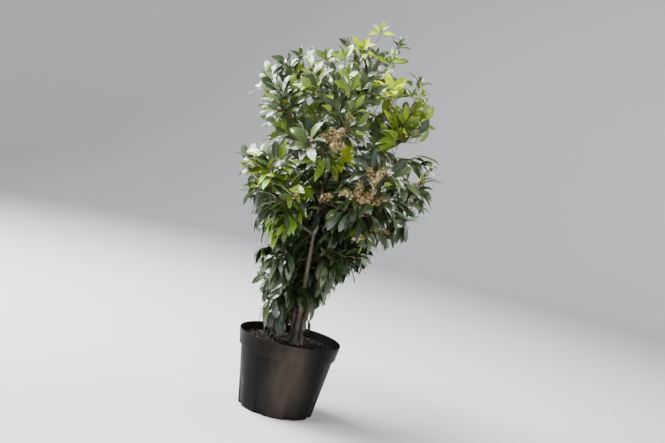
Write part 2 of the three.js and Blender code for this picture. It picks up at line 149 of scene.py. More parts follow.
MARK_FACE = {"out": 0.7, "ring": 0.25}
STEM_ID = 50
MARK_OUT = {"side": 0.75, "last": 1.9, "ring": 0.85}
MARK_TRIES = 10
MARK_RETURN = 0.63
MARK_CLEARANCE = 12
LIMB_CLEARANCE = 9
ROOT_SINK = 0.5
HANG = {"level": 760, "range": 520, "least": -0.28, "most": 0.85}
SPIKE = {"length": 84, "clearance": 14, "lowest": 560, "highest": 840, "share": 0.3, "outward": 0.25,
         "from": 0.9, "rise": 0.12}


# The source's rule

def noise(a, b, c):
    """A repeatable number from 0 to 1 for three whole numbers."""
    s = math.sin(a * 12.9898 + b * 78.233 + c * 37.719) * 43758.5453
    return s - math.floor(s)


def lerp(a, b, t):
    return a + (b - a) * t


def clamp(value, least, most):
    return min(max(value, least), most)


def units(v):
    """Vectors, in the last axis, made one long."""
    return v / np.maximum(np.linalg.norm(v, axis=-1, keepdims=True), 1e-9)


def square_to(v, way):
    """The part of a direction that is square to another, made one long."""
    return units(v - way * (v @ way))


def outward_of(points):
    """The level direction from the shrub's axis to each point."""
    return units(points * LEVEL)


def varied(size, share):
    """A size from a pair, its least value and how much more there may be, by a number from 0 to 1."""
    least, more = size
    return least + more * share


def picked(value, shares):
    """What stands beside the first share that a number from 0 to 1 does not pass."""
    return next(item for most, item in shares if value <= most)


def polar(radius, degrees, z):
    angle = math.radians(degrees)
    return np.array([radius * math.cos(angle), radius * math.sin(angle), z])


def turned(v, axis, angle):
    """A vector turned about an axis."""
    return (v * math.cos(angle) + np.cross(axis, v) * math.sin(angle)
            + axis * (axis @ v) * (1 - math.cos(angle)))


def in_outline(points, spare=0.0, outline=OUTLINE):
    """Which points are inside the crown's outline, grown by spare."""
    z = points[..., 2]
    middle = np.interp(z, outline[:, 0], outline[:, 1])
    half = np.interp(z, outline[:, 0], outline[:, 2]) + spare
    level = (z >= outline[0, 0] - spare) & (z <= PLANT_TOP + spare)
    return level & (np.hypot(points[..., 0] - middle, points[..., 1] / CROWN_DEPTH) < half)


class Path:
    """A path from start to end, bent towards bend, with a slight wander, that tapers from thick to thin."""

    def __init__(self, start, bend, end, thick, thin, wander=0.0, seed=0):
        self.start, self.bend, self.end = (np.array(p, float) for p in (start, bend, end))
        self.thick, self.thin, self.wander = thick, thin, wander
        self.turn = noise(seed, 1, 7) * 360
        steps = self.curve(np.linspace(0, 1, 201))
        self.length = float(np.linalg.norm(np.diff(steps, axis=0), axis=1).sum())

    def curve(self, t):
        t = np.asarray(t, float)[..., None]
        return (1 - t) ** 2 * self.start + 2 * (1 - t) * t * self.bend + t ** 2 * self.end

    def at(self, t):
        t = np.asarray(t, float)
        sway = self.wander * np.sin(math.pi * t) * np.sin(5 * t + self.turn)
        return self.curve(t) + sway[..., None] * polar(1, self.turn, 0)

    def along(self, t):
        t = np.asarray(t, float)
        return units(self.at(np.minimum(1, t + 0.01)) - self.at(np.maximum(0, t - 0.01)))

    def radius(self, t):
        return lerp(self.thick, self.thin, t)


@dataclass
class Stem:
    """A stem or shoot, and the middle of its mass's share of the crown."""
    name: str
    path: Path
    site: np.ndarray
    twigs: int
    ring: int
    entry: float = 0.0


def lone_stem(name, start, size, ring):
    path = Path(start, size["bend"], size["tip"], size["thick"], LIMB_TIP, size["wander"], size["seed"])
    return Stem(name, path, np.array(size["site"], float), size["twigs"], ring)


def ring_stem(stems, ring, size, k, foot):
    """Stem k of a ring. Those of the outer rings leave a main stem part of the way up."""
    turn = size["first"] + size["step"] * k
    azimuth = turn + RING_SPREAD["azimuth"] * (noise(k, 2 + ring, 3) - 0.5)
    tilt = RING_TILT * math.cos(math.radians(azimuth)) * (-1 if ring == 0 else 1)
    rise = tilt + RING_SPREAD["height"] * (noise(k, 5 + ring, 1) - 0.5)
    start = polar(STOOL_RING, azimuth, foot)
    if "parent" in size:
        parent = stems[1 + (k + size["parent"]) % size["count"]]
        start = parent.path.at(size["from"] + RING_SPREAD["fork"] * noise(k, 3, 9))
    bend = polar(size["bend"][0], azimuth - 6, size["bend"][1] + tilt)
    tip = polar(size["tip"][0], azimuth, size["tip"][1] + rise)
    site = polar(size["site"][0], azimuth, size["site"][1] + tilt)
    path = Path(start, bend, tip, size["thick"], LIMB_TIP, size["wander"], 20 * (ring + 1) + k)
    return Stem(f"{size['name']}_{k + 1}", path, site, size["twigs"], ring + 1)


def make_stems():
    foot = SOIL_LEVEL + STOOL_HEIGHT - STEM_SINK
    stems = [lone_stem("leader", (0, 0, foot), LEADER, 0)]
    for ring, size in enumerate(RINGS):
        stems += [ring_stem(stems, ring, size, k, foot) for k in range(size["count"])]
    return stems + [lone_stem("foot_shoot", FOOT_SHOOT["start"], FOOT_SHOOT, len(RINGS))]


def depth_in_share(points, own):
    """How far points lie inside a mass's own share of the crown."""
    home = SITES[own]
    others = np.delete(SITES, own, axis=0)
    points = np.atleast_2d(points)
    far = ((points[:, None, :] - others[None]) ** 2).sum(-1)
    near = ((points - home) ** 2).sum(-1)
    return ((far - near[:, None]) / (2 * np.linalg.norm(others - home, axis=1))).min(axis=1)


def entry_of(own):
    """Where along its path a stem enters its own share for good."""
    path, entry = STEMS[own].path, BOUGH["longest"]
    while entry > BOUGH["shortest"] and depth_in_share(path.at(entry), own)[0] > SHARE_MARGIN:
        entry -= BOUGH["step"]
    return entry


def limb_samples(shares):
    """Points along every stem, each as far as its share, and the stem's radius at each point."""
    rows = []
    for stem, to in zip(STEMS, shares):
        count = math.ceil(stem.path.length * to / LIMB_STEP)
        t = to * np.arange(count + 1) / count
        rows.append((stem.path.at(t), stem.path.radius(t)))
    return tuple(np.concatenate(part) for part in zip(*rows))


def clear_of(points, limbs):
    """The distance from each point to the nearest limb's surface."""
    centres, radii = limbs
    gaps = np.linalg.norm(points[:, None, :] - centres[None], axis=-1) - radii[None]
    return gaps.min(axis=1)


def fits(points, clearance, own):
    """Whether something stays in a mass's own share, above the pot and clear of all limbs."""
    if (points[:, 2] <= POT_HEIGHT + POT_CLEARANCE).any():
        return False
    if (depth_in_share(points, own) <= SHARE_GAP).any():
        return False
    return bool((clear_of(points, BOUGH_SAMPLES) > clearance).all())


def reach_from(point, direction, own):
    """How far a line from a point stays in the crown and in the mass's own share."""
    steps = np.arange(REACH["step"], LONGEST_TWIG + MARK["length"] + REACH["step"], REACH["step"])
    line = point + steps[:, None] * direction
    out = ~in_outline(line) | (depth_in_share(line, own) < REACH["gap"])
    return (steps[np.argmax(out)] if out.any() else steps[-1]) - REACH["step"]


def hang_at(z):
    """How much leaves hang at a height: those near the top stand up, and those low down hang."""
    return clamp((HANG["level"] - z) / HANG["range"], HANG["least"], HANG["most"])


def across_of(tangent):
    """A direction square to a tangent, from which turns round it are counted."""
    reference = np.array([0.0, 1.0, 0.0]) if abs(tangent[0]) > 0.7 else np.array([1.0, 0.0, 0.0])
    return square_to(reference, tangent)


@dataclass
class Twig:
    """A twig: its number, its foot, its way and length, and how far along its stem the foot is."""
    key: int
    origin: np.ndarray
    direction: np.ndarray
    length: float
    t: float

    def path(self):
        bend = self.origin + self.direction * self.length * TWIG_BEND
        end = self.origin + self.direction * self.length + UP * self.length * TWIG_RISE
        return Path(self.origin, bend, end, TWIG_RADIUS, TWIG_RADIUS * TWIG_TAPER)


def twig_at(own, j):
    """Twig j of a mass, or None where it would be short or run inwards."""
    stem = STEMS[own]
    share = (j + TWIG_FEET["shift"]) / stem.twigs
    t = lerp(stem.entry, 1, TWIG_FEET["first"] + TWIG_FEET["span"] * share)
    origin, tangent = stem.path.at(t), stem.path.along(t)
    side = turned(across_of(tangent), tangent, GOLDEN_ANGLE * j + TURN * noise(own, 1, 1))
    degrees = lerp(TWIG_SPREAD["foot"], TWIG_SPREAD["tip"], share)
    spread = math.radians(degrees + TWIG_SPREAD["wander"] * (noise(own, j, 2) - 0.5))
    direction = tangent * math.cos(spread) + side * math.sin(spread)
    lift = (origin[2] - TWIG_LIFT["level"]) / TWIG_LIFT["range"]
    direction[2] += clamp(lift, TWIG_LIFT["least"], TWIG_LIFT["most"])
    direction = units(direction)
    room = MARK["length"] * (TIP_ROOM["upright"] - TIP_ROOM["hanging"] * max(0, hang_at(origin[2])))
    length = reach_from(origin, direction, own) - room
    inward = -(origin[:2] @ direction[:2]) / (math.hypot(*origin[:2]) + INWARD["spare"])
    if length < SHORTEST_TWIG or inward > INWARD["most"]:
        return None
    return Twig(j, origin, direction, min(length, LONGEST_TWIG), t)


def twigs_of(own):
    """The twigs of a mass that fit. They leave its stem by the golden angle, and one more is at its tip."""
    stem = STEMS[own]
    direction = stem.path.along(1.0)
    tip = Twig(stem.twigs, stem.path.at(1.0) - direction * TIP_TWIG / 2, direction, TIP_TWIG, 1.0)
    made = [twig for twig in (twig_at(own, j) for j in range(stem.twigs)) if twig] + [tip]
    probes = np.linspace(0.25, 1, 4)
    return [twig for twig in made if fits(twig.path().at(probes), TWIG_RADIUS + 1, own)]


@dataclass
class Mark:
    """Where the source has one leaf, and a spray stands here: its root and length, the way its tip points,
    the way its upper side looks, and its breadth."""
    root: np.ndarray
    along: np.ndarray
    face: np.ndarray
    side: np.ndarray
    length: float
    key: tuple


def mark_frame(point, twig_way, turn, out):
    ring = turned(units(np.cross([0.3, 0.2, 1.0], twig_way)), twig_way, turn)
    along = units(twig_way * out + ring * MARK_OUT["ring"] - UP * hang_at(point[2]))
    face = square_to(UP + outward_of(point) * MARK_FACE["out"] + ring * MARK_FACE["ring"], along)
    return along, face, np.cross(along, face)


def mark_probes(mark):
    """Points spread over a leaf of the source, for the tests of what it may not touch."""
    run = np.arange(1, 7) / 6
    width = MARK["width"] * mark.length / MARK["length"]
    half = 0.5 * width * np.minimum(run / MARK["belly"], (1 - run) / (1 - MARK["belly"]))
    probes = []
    for x in (-1, 0, 1):
        lift = abs(x) * MARK["fold"] * 2 * half - run * run * MARK["droop"] * mark.length
        probes.append(mark.root + run[:, None] * mark.length * mark.along
                      + (x * half)[:, None] * mark.side + lift[:, None] * mark.face)
    return np.concatenate(probes)


def marks_along(key, wood, first, count, taken, own):
    """The marks of a twig or stem, by the golden angle along it. One that does not fit, or that would cross
    what is in taken, is turned on, and then skipped."""
    made = []
    for i in range(count):
        t = lerp(first, MARK_SPAN["last"], i / (count - 1))
        scale = MARK_SCALE["least"] + MARK_SCALE["spread"] * noise(own, key, 10 + i)
        out = MARK_OUT["last"] if i == count - 1 else MARK_OUT["side"]
        point, way = wood.at(t), wood.along(t)
        for attempt in range(MARK_TRIES):
            turn = GOLDEN_ANGLE * (i + 1) + TURN * noise(own, key, 3) + MARK_RETURN * attempt
            along, face, side = mark_frame(point, way, turn, out)
            mark = Mark(point - along * ROOT_SINK, along, face, side, MARK["length"] * scale, (own, key, i))
            probes = mark_probes(mark)
            if not fits(probes, LIMB_CLEARANCE, own):
                continue
            if taken and clear_of(probes, (np.concatenate(taken), np.zeros(1))).min() <= MARK_CLEARANCE:
                continue
            taken.append(probes)
            made.append(mark)
            break
    return made


def spike_of(own, twig):
    """The path of the blossom at a twig's end, or None. Some of the twigs that face outwards have one."""
    if twig.t == 1 or not SPIKE["lowest"] <= twig.origin[2] <= SPIKE["highest"]:
        return None
    outward = outward_of(twig.origin) @ twig.direction
    if outward <= SPIKE["outward"] or noise(own, twig.key, 31) >= SPIKE["share"]:
        return None
    start, way = twig.path().at(SPIKE["from"]), twig.path().along(1.0)
    length = SPIKE["length"]
    path = Path(start, start + way * length / 2, start + way * length + UP * SPIKE["rise"] * length, 1, 1)
    return path if fits(path.at(np.array([0.3, 0.6, 1.0])), SPIKE["clearance"], own) else None


def grow_mass(own):
    """The twigs, marks and spikes of one mass of foliage."""
    stem = STEMS[own]
    twigs, marks, spikes, taken = twigs_of(own), [], [], []
    for twig in twigs:
        count = math.floor(twig.length / MARK_EVERY + 0.5) + 1
        count = clamp(count, MARK_COUNT["least"], MARK_COUNT["most"])
        marks += marks_along(twig.key, twig.path(), MARK_SPAN["first"], count, taken, own)
        spike = spike_of(own, twig)
        if spike:
            spikes.append(spike)
    count = math.floor(stem.path.length * (1 - stem.entry) / STEM_MARK_EVERY + 0.5) + 1
    first = lerp(stem.entry, 1, MARK_SPAN["stem"])
    marks += marks_along(STEM_ID, stem.path, first, count, taken, own)
    return twigs, marks, spikes


STEMS = make_stems()
SITES = np.array([stem.site for stem in STEMS])
for number, stem in enumerate(STEMS):
    stem.entry = entry_of(number)
BOUGH_SAMPLES = limb_samples([stem.entry for stem in STEMS])
STEM_SAMPLES = limb_samples([1.0] * len(STEMS))
MASSES = [grow_mass(own) for own in range(len(STEMS))]


# Leaf colours, dealt out by spray. A mature leaf is dark, and a young one is bright; the bright and lime
# tints are also made lighter as a painted glow of light through thin leaves.

TINTS = [
    ("leaf_deep", (0.016, 0.032, 0.008)),
    ("leaf_dark", (0.032, 0.058, 0.014)),
    ("leaf_cool", (0.034, 0.062, 0.026)),
    ("leaf_mid", (0.066, 0.112, 0.022)),
    ("leaf_fresh", (0.112, 0.185, 0.028)),
    ("leaf_bright", (0.180, 0.320, 0.010)),
    ("leaf_lime", (0.560, 0.660, 0.001)),
]
RIB_COLOURS = [("rib_mature", (0.12, 0.17, 0.05), 0.45), ("rib_young", (0.34, 0.40, 0.10), 0.45)]
UNDERSIDE_COLOURS = [("underside_mature", (0.125, 0.175, 0.075), 0.5),
                     ("underside_young", (0.34, 0.44, 0.06), 0.5)]
DEEP, DARK, COOL, MID, FRESH, BRIGHT, LIME = range(7)
# Of the leaves that are not young, the share up to each tint: low in the crown, where they are old and the
# darker tints are also painted shade, and high, where the lighter tints are also painted light
MATURE_LOW = ((0.56, DEEP), (0.84, DARK), (0.97, COOL), (1.0, MID))
MATURE_HIGH = ((0.10, DEEP), (0.42, DARK), (0.56, COOL), (0.82, MID), (1.0, FRESH))
OLD_AND_PAINTED_SHADE_BELOW, FRESH_AND_PAINTED_LIGHT_ABOVE = 600, 860
# The share of them that is bright all the same, low and high, with more of them high up partly as painted
# light, and where a leaf's own draw changes its tint
BRIGHT_SHARE = (0.01, 0.12)
AGED = {"younger": 0.5, "older": 0.8}
# Where young leaves are gathered: the middle and radius of each place, the share that is young, and the tint
# of those. At the first place all leaves are mature and have the middle tint.
# The bright and lime places on the right stand partly for young leaves and partly for the painted glow of
# leaves lit from behind.
YOUNG_PLACES = [
    ((-78, -280, 805), 70, 1.0, MID),
    ((54, 0, 1170), 60, 0.6, BRIGHT),
    ((8, 0, 1100), 50, 0.6, LIME),
    ((124, -80, 1010), 75, 0.5, LIME),
    ((185, -100, 997), 60, 0.4, LIME),
    ((97, -180, 841), 60, 0.5, LIME),
    ((236, -80, 953), 90, 0.42, BRIGHT),
    ((280, -60, 813), 80, 0.6, BRIGHT),
    ((-20, -60, 1050), 110, 0.35, FRESH),
    ((-175, -150, 712), 80, 0.75, BRIGHT),
    ((-98, -190, 702), 75, 0.75, BRIGHT),
    ((-200, -120, 584), 70, 0.45, BRIGHT),
    ((-28, -200, 759), 60, 0.5, BRIGHT),
    ((-120, 210, 850), 110, 0.45, BRIGHT),
    ((180, 220, 700), 100, 0.45, FRESH),
]


# Sprays: where the source has one large leaf, the real plant has a thin shoot with several leaves, whose
# last leaf ends where that large leaf does

LEAF = {"length": 68, "width": 29.5, "petiole": 11}
# How a leaf stands on its wood. A pair is a least value and how much more there may be.
STANCE = {
    "open": 16, "sag": (0.7, 0.6), "out": 0.6, "hang": 2.5, "hang_range": (-0.55, 0.4), "roll": 1.2,
    "length": (0.88, 0.24), "petiole": (0.7, 0.5),
}
SHOOT = {"leaf_share": 0.5, "droop": 0.08, "radius": 1.25, "tip_radius": 0.7}
SPRAY = {
    "leaves": 8, "first": 0.04, "open": (72, 68, 63, 58, 52, 46, 38, 12),
    "size": (0.94, 1.0, 1.02, 1.0, 0.98, 0.94, 0.86, 0.74), "flat": 0.6, "cup": 0.0,
}
# A rosette: the leaves of a spray at the open top are gathered at its shoot's end
ROSETTE = {
    "leaves": 9, "first": 0.6, "open": (92, 88, 82, 78, 70, 62, 50, 34, 10),
    "size": (0.85, 0.92, 0.96, 0.94, 0.9, 0.8, 0.7, 0.6, 0.5), "flat": 1.0, "cup": 1.6,
}
SPRAY_TRIES = 6
TRY_TURN = {"spray": 0.7, "twig": 0.9}
TWIG_LEAF = {"every": 17, "first": 0.05, "last": 0.92, "open": 58, "size": 0.94}
# A leaf's size by its height: the young leaves of the top are smaller, on shoots that are longer
SIZE_BY_HEIGHT = np.array([(620, 1.0), (760, 0.92), (900, 0.83), (1040, 0.73), (1170, 0.6)])
REACH_SPARE = (-26, 18)
# The outline of the leaves, which is narrower than the source's at the upper left and at the lower right
LEAF_OUTLINE = np.array(
    [(215, -36, 62), (250, -50, 76), (300, -56, 88), (345, -46, 114), (385, -34, 134), (455, -9, 170)]
    + [tuple(row) for row in OUTLINE if 500 < row[0] < 1000]
    + [(1000, -10, 268), (1060, 20, 186), (1120, 42, 120), (1165, 50, 80), (1190, 52, 40)])
LIMB_SPARE = 2.5
INNER = {"every": 25, "lowest": 268, "highest": 900, "out": 0.5, "length": 100, "key": 70}
BLADE_ROOM = {"sag": 0.16, "half": 0.14}
CELL = 7
MOST_CROSSED = 3
LOWEST_LEAF = {"inside": SOIL_LEVEL + 7, "outside": POT_HEIGHT + 3, "radius": POT_RIM_RADIUS - 28}
BARE_SHOOT = {"above": 1070, "first_leaf": 3}
# The top is open. Few of the source's sprays stand there, and these do: the tip of each, its tint, how much
# larger than the others it is, and how far it leans to the front
OPEN_TOP = {"above": 1062, "share": 0.3, "none": 1150}
TOP_SPRAYS = [
    ((58, -26, 1171), LIME, 0.95, 2.0), ((13, -46, 1110), LIME, 1.0, 1.3), ((-37, 20, 1132), DARK, 0.8, 0),
    ((122, -30, 1149), MID, 1.0, 0.6), ((106, -90, 1094), BRIGHT, 1.0, 0.6),
    ((-164, -60, 1058), MID, 1.0, 0.3), ((-88, -100, 1060), FRESH, 1.0, 0.6),
    ((-33, -120, 1070), BRIGHT, 1.0, 0.6), ((205, -20, 1054), MID, 1.0, 0.3), ((60, 110, 1120), MID, 1.0, 0),
    ((-90, 120, 1085), FRESH, 1.0, 0), ((130, 150, 1050), MID, 1.0, 0), ((123, -160, 1010), LIME, 1.1, 0.5),
    ((146, -140, 1000), LIME, 1.0, 0.3), ((70, -190, 990), LIME, 1.0, 0.3),
]
TOP_SPRAY = {"length": 66, "lean": 0.45, "lean_from": 100, "below": 10, "rise": 8, "stalk": 1.6, "key": 80}
WOOD_SHARES = np.linspace(0.3, 0.96, 12)
DROOP = {"level": 840, "range": 300, "least": -0.25, "most": 0.95}
# Where the stems are bare to see from the front: left, right, low and high, and how far in front leaves end
STEM_VIEWS = [(-40, 8, 395, 640, -42), (-26, 30, 368, 470, -42), (-30, 12, 205, 312, -10)]
STEM_COVER = 0.08
# The picture's lean and the camera's place beside the shrub
LEAN = math.radians(CAMERA["roll"])
VIEW_PLACE = np.array(CAMERA["place"], float) - (SHRUB_PLACE, 0, 0)
# Where the sky shows through the crown from there: the middle of each gap in the leaning picture, half its
# width and half its height
SKY_GAPS = np.array([
    (395, 778, 66, 33), (470, 784, 60, 40), (284, 901, 20, 16), (362, 922, 22, 13), (236, 853, 20, 9),
    (398, 684, 14, 10),
])
STATIONS = np.array([0, 0.05, 0.14, 0.25, 0.37, 0.5, 0.63, 0.75, 0.86, 0.945, 1])
RIB = {"half": 0.75, "narrowing": 0.75, "most": 0.3, "depth": 0.55, "thinning": 0.7}
BLADE = {
    "thickness": 0.4, "teeth": 0.03, "inner": 0.52, "waves": 1.6, "wave": 0.035, "edge_drop": 0.10,
    "rise": 0.18, "bend": (0.25, 0.75), "fold": (10, 16), "twist": 0.5, "sickle": 0.16,
    "width": (0.92, 0.24), "hanging": 0.3,
}


def wood_points(highest):
    """Points along the outer part of each twig below a height, each with the number of its mass."""
    return [(point, own) for own, (mass, _, _) in enumerate(MASSES) for twig in mass
            for point in twig.path().at(WOOD_SHARES) if point[2] < highest]


def top_sprays():
    """The sprays that stand at the named places of the top, each with its stalk and its tint."""
    made = []
    for n, (tip, tint, _, front) in enumerate(TOP_SPRAYS):
        tip = np.array(tip, float)
        lean = outward_of(tip) * TOP_SPRAY["lean"] * min(1, math.hypot(*tip[:2]) / TOP_SPRAY["lean_from"])
        along = units(UP + lean - np.array([0, front, 0]))
        root = tip - along * TOP_SPRAY["length"]
        wood = wood_points(root[2] - TOP_SPRAY["below"])
        foot, own = min(wood, key=lambda row: np.linalg.norm(row[0] - root))
        face = square_to(units(across_of(along) + UP), along)
        key = (own, TOP_SPRAY["key"], n)
        mark = Mark(root, along, face, np.cross(along, face), TOP_SPRAY["length"], key)
        bend = (foot + root) / 2 + UP * TOP_SPRAY["rise"]
        made.append((mark, Path(foot, bend, root, TOP_SPRAY["stalk"], SHOOT["radius"]), tint))
    return made


@dataclass
class Leaf:
    """A blade: the end of its stalk, the way it points, the way its upper side looks, and its size."""
    foot: np.ndarray
    root: np.ndarray
    way: np.ndarray
    face: np.ndarray
    length: float
    tint: int
    key: tuple


class Room:
    """The space that leaves hold, in small cells, so that few of them cross."""

    def __init__(self):
        self.held = set()

    @staticmethod
    def cells(points):
        return set(map(tuple, np.floor(points / CELL).astype(int)))

    def crossed(self, points):
        return len(self.cells(points) & self.held)

    def hold(self, points):
        self.held |= self.cells(points)


def chance(*key):
    """A repeatable number from 0 to 1 for a key of up to six whole numbers."""
    a, b, c, d, e, f = (list(key) + [0] * 6)[:6]
    return noise(a + 17 * d, b + 31 * e, c + 13 * f + 5)


def leaf_points(leaf):
    """Points spread over a blade's middle and outer part."""
    s = np.array([0.35, 0.5, 0.65, 0.8, 0.95])
    middle = leaf.root + s[:, None] * leaf.length * leaf.way
    middle = middle - (BLADE_ROOM["sag"] * leaf.length * s * s)[:, None] * leaf.face
    breadth = np.cross(leaf.way, leaf.face) * leaf.length * BLADE_ROOM["half"]
    return np.concatenate([middle, middle[1:4] + breadth, middle[1:4] - breadth])


def hides_stem(points):
    """Whether a leaf covers one of the places at the front where the stems are bare to see."""
    x, y, z = points.T
    return any(((x > left) & (x < right) & (z > low) & (z < high) & (y < front)).any()
               for left, right, low, high, front in STEM_VIEWS)


def too_low(points):
    """Whether a leaf touches the pot's rim, or the soil inside it."""
    inside = np.hypot(points[:, 0] + SHRUB_PLACE, points[:, 1]) < LOWEST_LEAF["radius"]
    return (points[:, 2] < np.where(inside, LOWEST_LEAF["inside"], LOWEST_LEAF["outside"])).any()


def in_sky_gap(points):
    """Whether something would close a gap where the sky shows through the crown."""
    seen = VIEW_PLACE + (points - VIEW_PLACE) * (-VIEW_PLACE[1] / (points[:, 1:2] - VIEW_PLACE[1]))
    u = seen[:, 0] * math.cos(LEAN) + seen[:, 2] * math.sin(LEAN)
    v = seen[:, 2] * math.cos(LEAN) - seen[:, 0] * math.sin(LEAN)
    away = (((u[:, None] - SKY_GAPS[:, 0]) / SKY_GAPS[:, 2]) ** 2
            + ((v[:, None] - SKY_GAPS[:, 1]) / SKY_GAPS[:, 3]) ** 2)
    return (away < 1).any()


def leaf_fits(leaf, room):
    points = leaf_points(leaf)
    spare = lerp(*REACH_SPARE, chance(*leaf.key[:3], 33))
    placed = leaf.key[1] == TOP_SPRAY["key"]
    if too_low(points) or not (placed or in_outline(points, spare, LEAF_OUTLINE).all()):
        return False
    if clear_of(points, STEM_SAMPLES).min() < LIMB_SPARE or in_sky_gap(points):
        return False
    if hides_stem(points) and chance(*leaf.key[:3], 34) > STEM_COVER:
        return False
    return room.crossed(points) <= MOST_CROSSED


def size_at(z):
    return float(np.interp(z, SIZE_BY_HEIGHT[:, 0], SIZE_BY_HEIGHT[:, 1]))


def leaf_on(wood_point, wood_way, radial, degrees, size, tint, key, cup=0.0):
    """A leaf that leaves its wood to the side of radial, opened by some degrees from the wood's own way.
    With cup its upper side looks the way of the wood's end."""
    size = size * size_at(wood_point[2])
    spread = math.radians(degrees + STANCE["open"] * (chance(*key, 1) - 0.5))
    way = wood_way * math.cos(spread) + radial * math.sin(spread)
    droop = clamp((DROOP["level"] - wood_point[2]) / DROOP["range"], DROOP["least"], DROOP["most"])
    way = units(way - UP * droop * varied(STANCE["sag"], chance(*key, 7)))
    beside = clamp(STANCE["hang"] * hang_at(wood_point[2]), *STANCE["hang_range"])
    face = UP + outward_of(wood_point) * STANCE["out"] + radial * beside + wood_way * cup
    face = turned(square_to(face, way), way, STANCE["roll"] * (chance(*key, 5) - 0.5))
    length = LEAF["length"] * size * varied(STANCE["length"], chance(*key, 2))
    root = wood_point + way * LEAF["petiole"] * varied(STANCE["petiole"], chance(*key, 3)) * size
    return Leaf(wood_point, root, way, face, length, tint, key)


def shoot_points(mark, s):
    """Points along a spray's shoot, from its foot at 0 to its tip at 1."""
    length = mark.length * (1 - SHOOT["leaf_share"] * size_at(mark.root[2]))
    s = np.asarray(s, float)[..., None]
    return mark.root + mark.along * length * s - mark.face * SHOOT["droop"] * length * s * s


def kind_of(mark):
    """How the leaves of a spray stand on its shoot."""
    return ROSETTE if mark.key[1] == TOP_SPRAY["key"] else SPRAY


def leaf_place(mark, k):
    """How far along its shoot leaf k of a spray stands."""
    kind = kind_of(mark)
    return lerp(kind["first"], 1.0, k / (kind["leaves"] - 1))


def fitted(leaf_at, places, room):
    """The leaves of some wood that fit. One that does not is turned on round it, and then left out."""
    made = []
    for k in places:
        tries = (leaf_at(k, attempt) for attempt in range(SPRAY_TRIES))
        leaf = next((leaf for leaf in tries if leaf_fits(leaf, room)), None)
        if leaf:
            room.hold(leaf_points(leaf))
            made.append(leaf)
    return made


def spray_leaves(mark, tint, room):
    """The leaves of a spray."""
    kind = kind_of(mark)
    bare = kind is SPRAY and shoot_points(mark, 1)[2] > BARE_SHOOT["above"]
    scale = TOP_SPRAYS[mark.key[2]][2] if kind is ROSETTE else 1.0

    def leaf_at(k, attempt):
        turn = GOLDEN_ANGLE * k + TURN * chance(*mark.key, 4) + TRY_TURN["spray"] * attempt
        radial = units(mark.side * math.cos(turn) + mark.face * math.sin(turn) * kind["flat"])
        return leaf_on(shoot_points(mark, leaf_place(mark, k)), mark.along, radial, kind["open"][k],
                       kind["size"][k] * scale, tint, (*mark.key, k), kind["cup"])

    return fitted(leaf_at, range(BARE_SHOOT["first_leaf"] if bare else 0, kind["leaves"]), room)


def twig_leaves(own, twig, tint, room):
    """The leaves that stand on a twig itself, between its sprays."""
    wood = twig.path()
    count = int(wood.length * (TWIG_LEAF["last"] - TWIG_LEAF["first"]) / TWIG_LEAF["every"])

    def leaf_at(k, attempt):
        t = lerp(TWIG_LEAF["first"], TWIG_LEAF["last"], (k + 0.5) / count)
        way = wood.along(t)
        turn = GOLDEN_ANGLE * k + TURN * chance(own, twig.key, 6) + TRY_TURN["twig"] * attempt
        return leaf_on(wood.at(t), way, turned(across_of(way), way, turn), TWIG_LEAF["open"],
                       TWIG_LEAF["size"], tint, (own, twig.key, k, 9))

    return fitted(leaf_at, range(count), room)


def tint_of(point, key):
    """The tint of the spray that ends at a point, or of the leaves on a twig that starts there."""
    for n, (middle, radius, share, tint) in enumerate(YOUNG_PLACES):
        if np.linalg.norm(point - middle) < radius and chance(*key, 40 + n) < share:
            return tint
    # Darker tints low in the crown and brighter ones high: partly older and younger leaves, partly painted
    # shade and painted light.
    height = clamp((point[2] - OLD_AND_PAINTED_SHADE_BELOW) / (FRESH_AND_PAINTED_LIGHT_ABOVE - OLD_AND_PAINTED_SHADE_BELOW), 0, 1)
    if chance(*key, 38) < lerp(*BRIGHT_SHARE, height):
        return BRIGHT
    return picked(chance(*key, 39), MATURE_HIGH if chance(*key, 36) < height else MATURE_LOW)


def around(path):
    """Points along a raceme, and beside it by the reach of its flowers."""
    steps = np.concatenate([np.zeros((1, 3)), np.eye(3), -np.eye(3)]) * RACEME["reach"]
    return (path.at(np.linspace(0, 1, 10))[:, None] + steps).reshape(-1, 3)


def aged(leaf, last):
    """A leaf's own tint: the last of a spray is often a younger one, and some others are older."""
    pick = chance(*leaf.key, 37)
    if last and pick < AGED["younger"]:
        return max(leaf.tint, min(leaf.tint + 1, BRIGHT))
    if pick > AGED["older"]:
        return max(leaf.tint - 1, DEEP)
    return leaf.tint


def inner_marks(own):
    """Short sprays on the upper, bare part of a stem, which fill the inside of the crown."""
    stem, made = STEMS[own], []
    count = int(stem.path.length * stem.entry / INNER["every"])
    for i in range(count):
        t = stem.entry * (i + 0.5) / count
        point, way = stem.path.at(t), stem.path.along(t)
        if INNER["lowest"] < point[2] < INNER["highest"]:
            turn = GOLDEN_ANGLE * (i + 3 * own)
            along, face, side = mark_frame(point, way, turn, INNER["out"])
            made.append(Mark(point, along, face, side, INNER["length"], (own, INNER["key"], i)))
    return made


def opened(marks):
    """The marks that carry a spray: few of those near the top."""
    tips = [mark.root[2] + mark.along[2] * mark.length for mark in marks]
    return [mark for mark, z in zip(marks, tips) if z < OPEN_TOP["above"]
            or z < OPEN_TOP["none"] and chance(*mark.key, 45) < OPEN_TOP["share"]]


def sprays_of(own, marks):
    """What carries a spray in one mass, each with its tint."""
    made = [(mark, tint) for mark, _, tint in TOP if mark.key[0] == own]
    for mark in inner_marks(own):
        made.append((mark, min(DARK, tint_of(mark.root + mark.along * mark.length, mark.key))))
    for mark in opened(marks):
        made.append((mark, tint_of(mark.root + mark.along * mark.length, mark.key)))
    return made


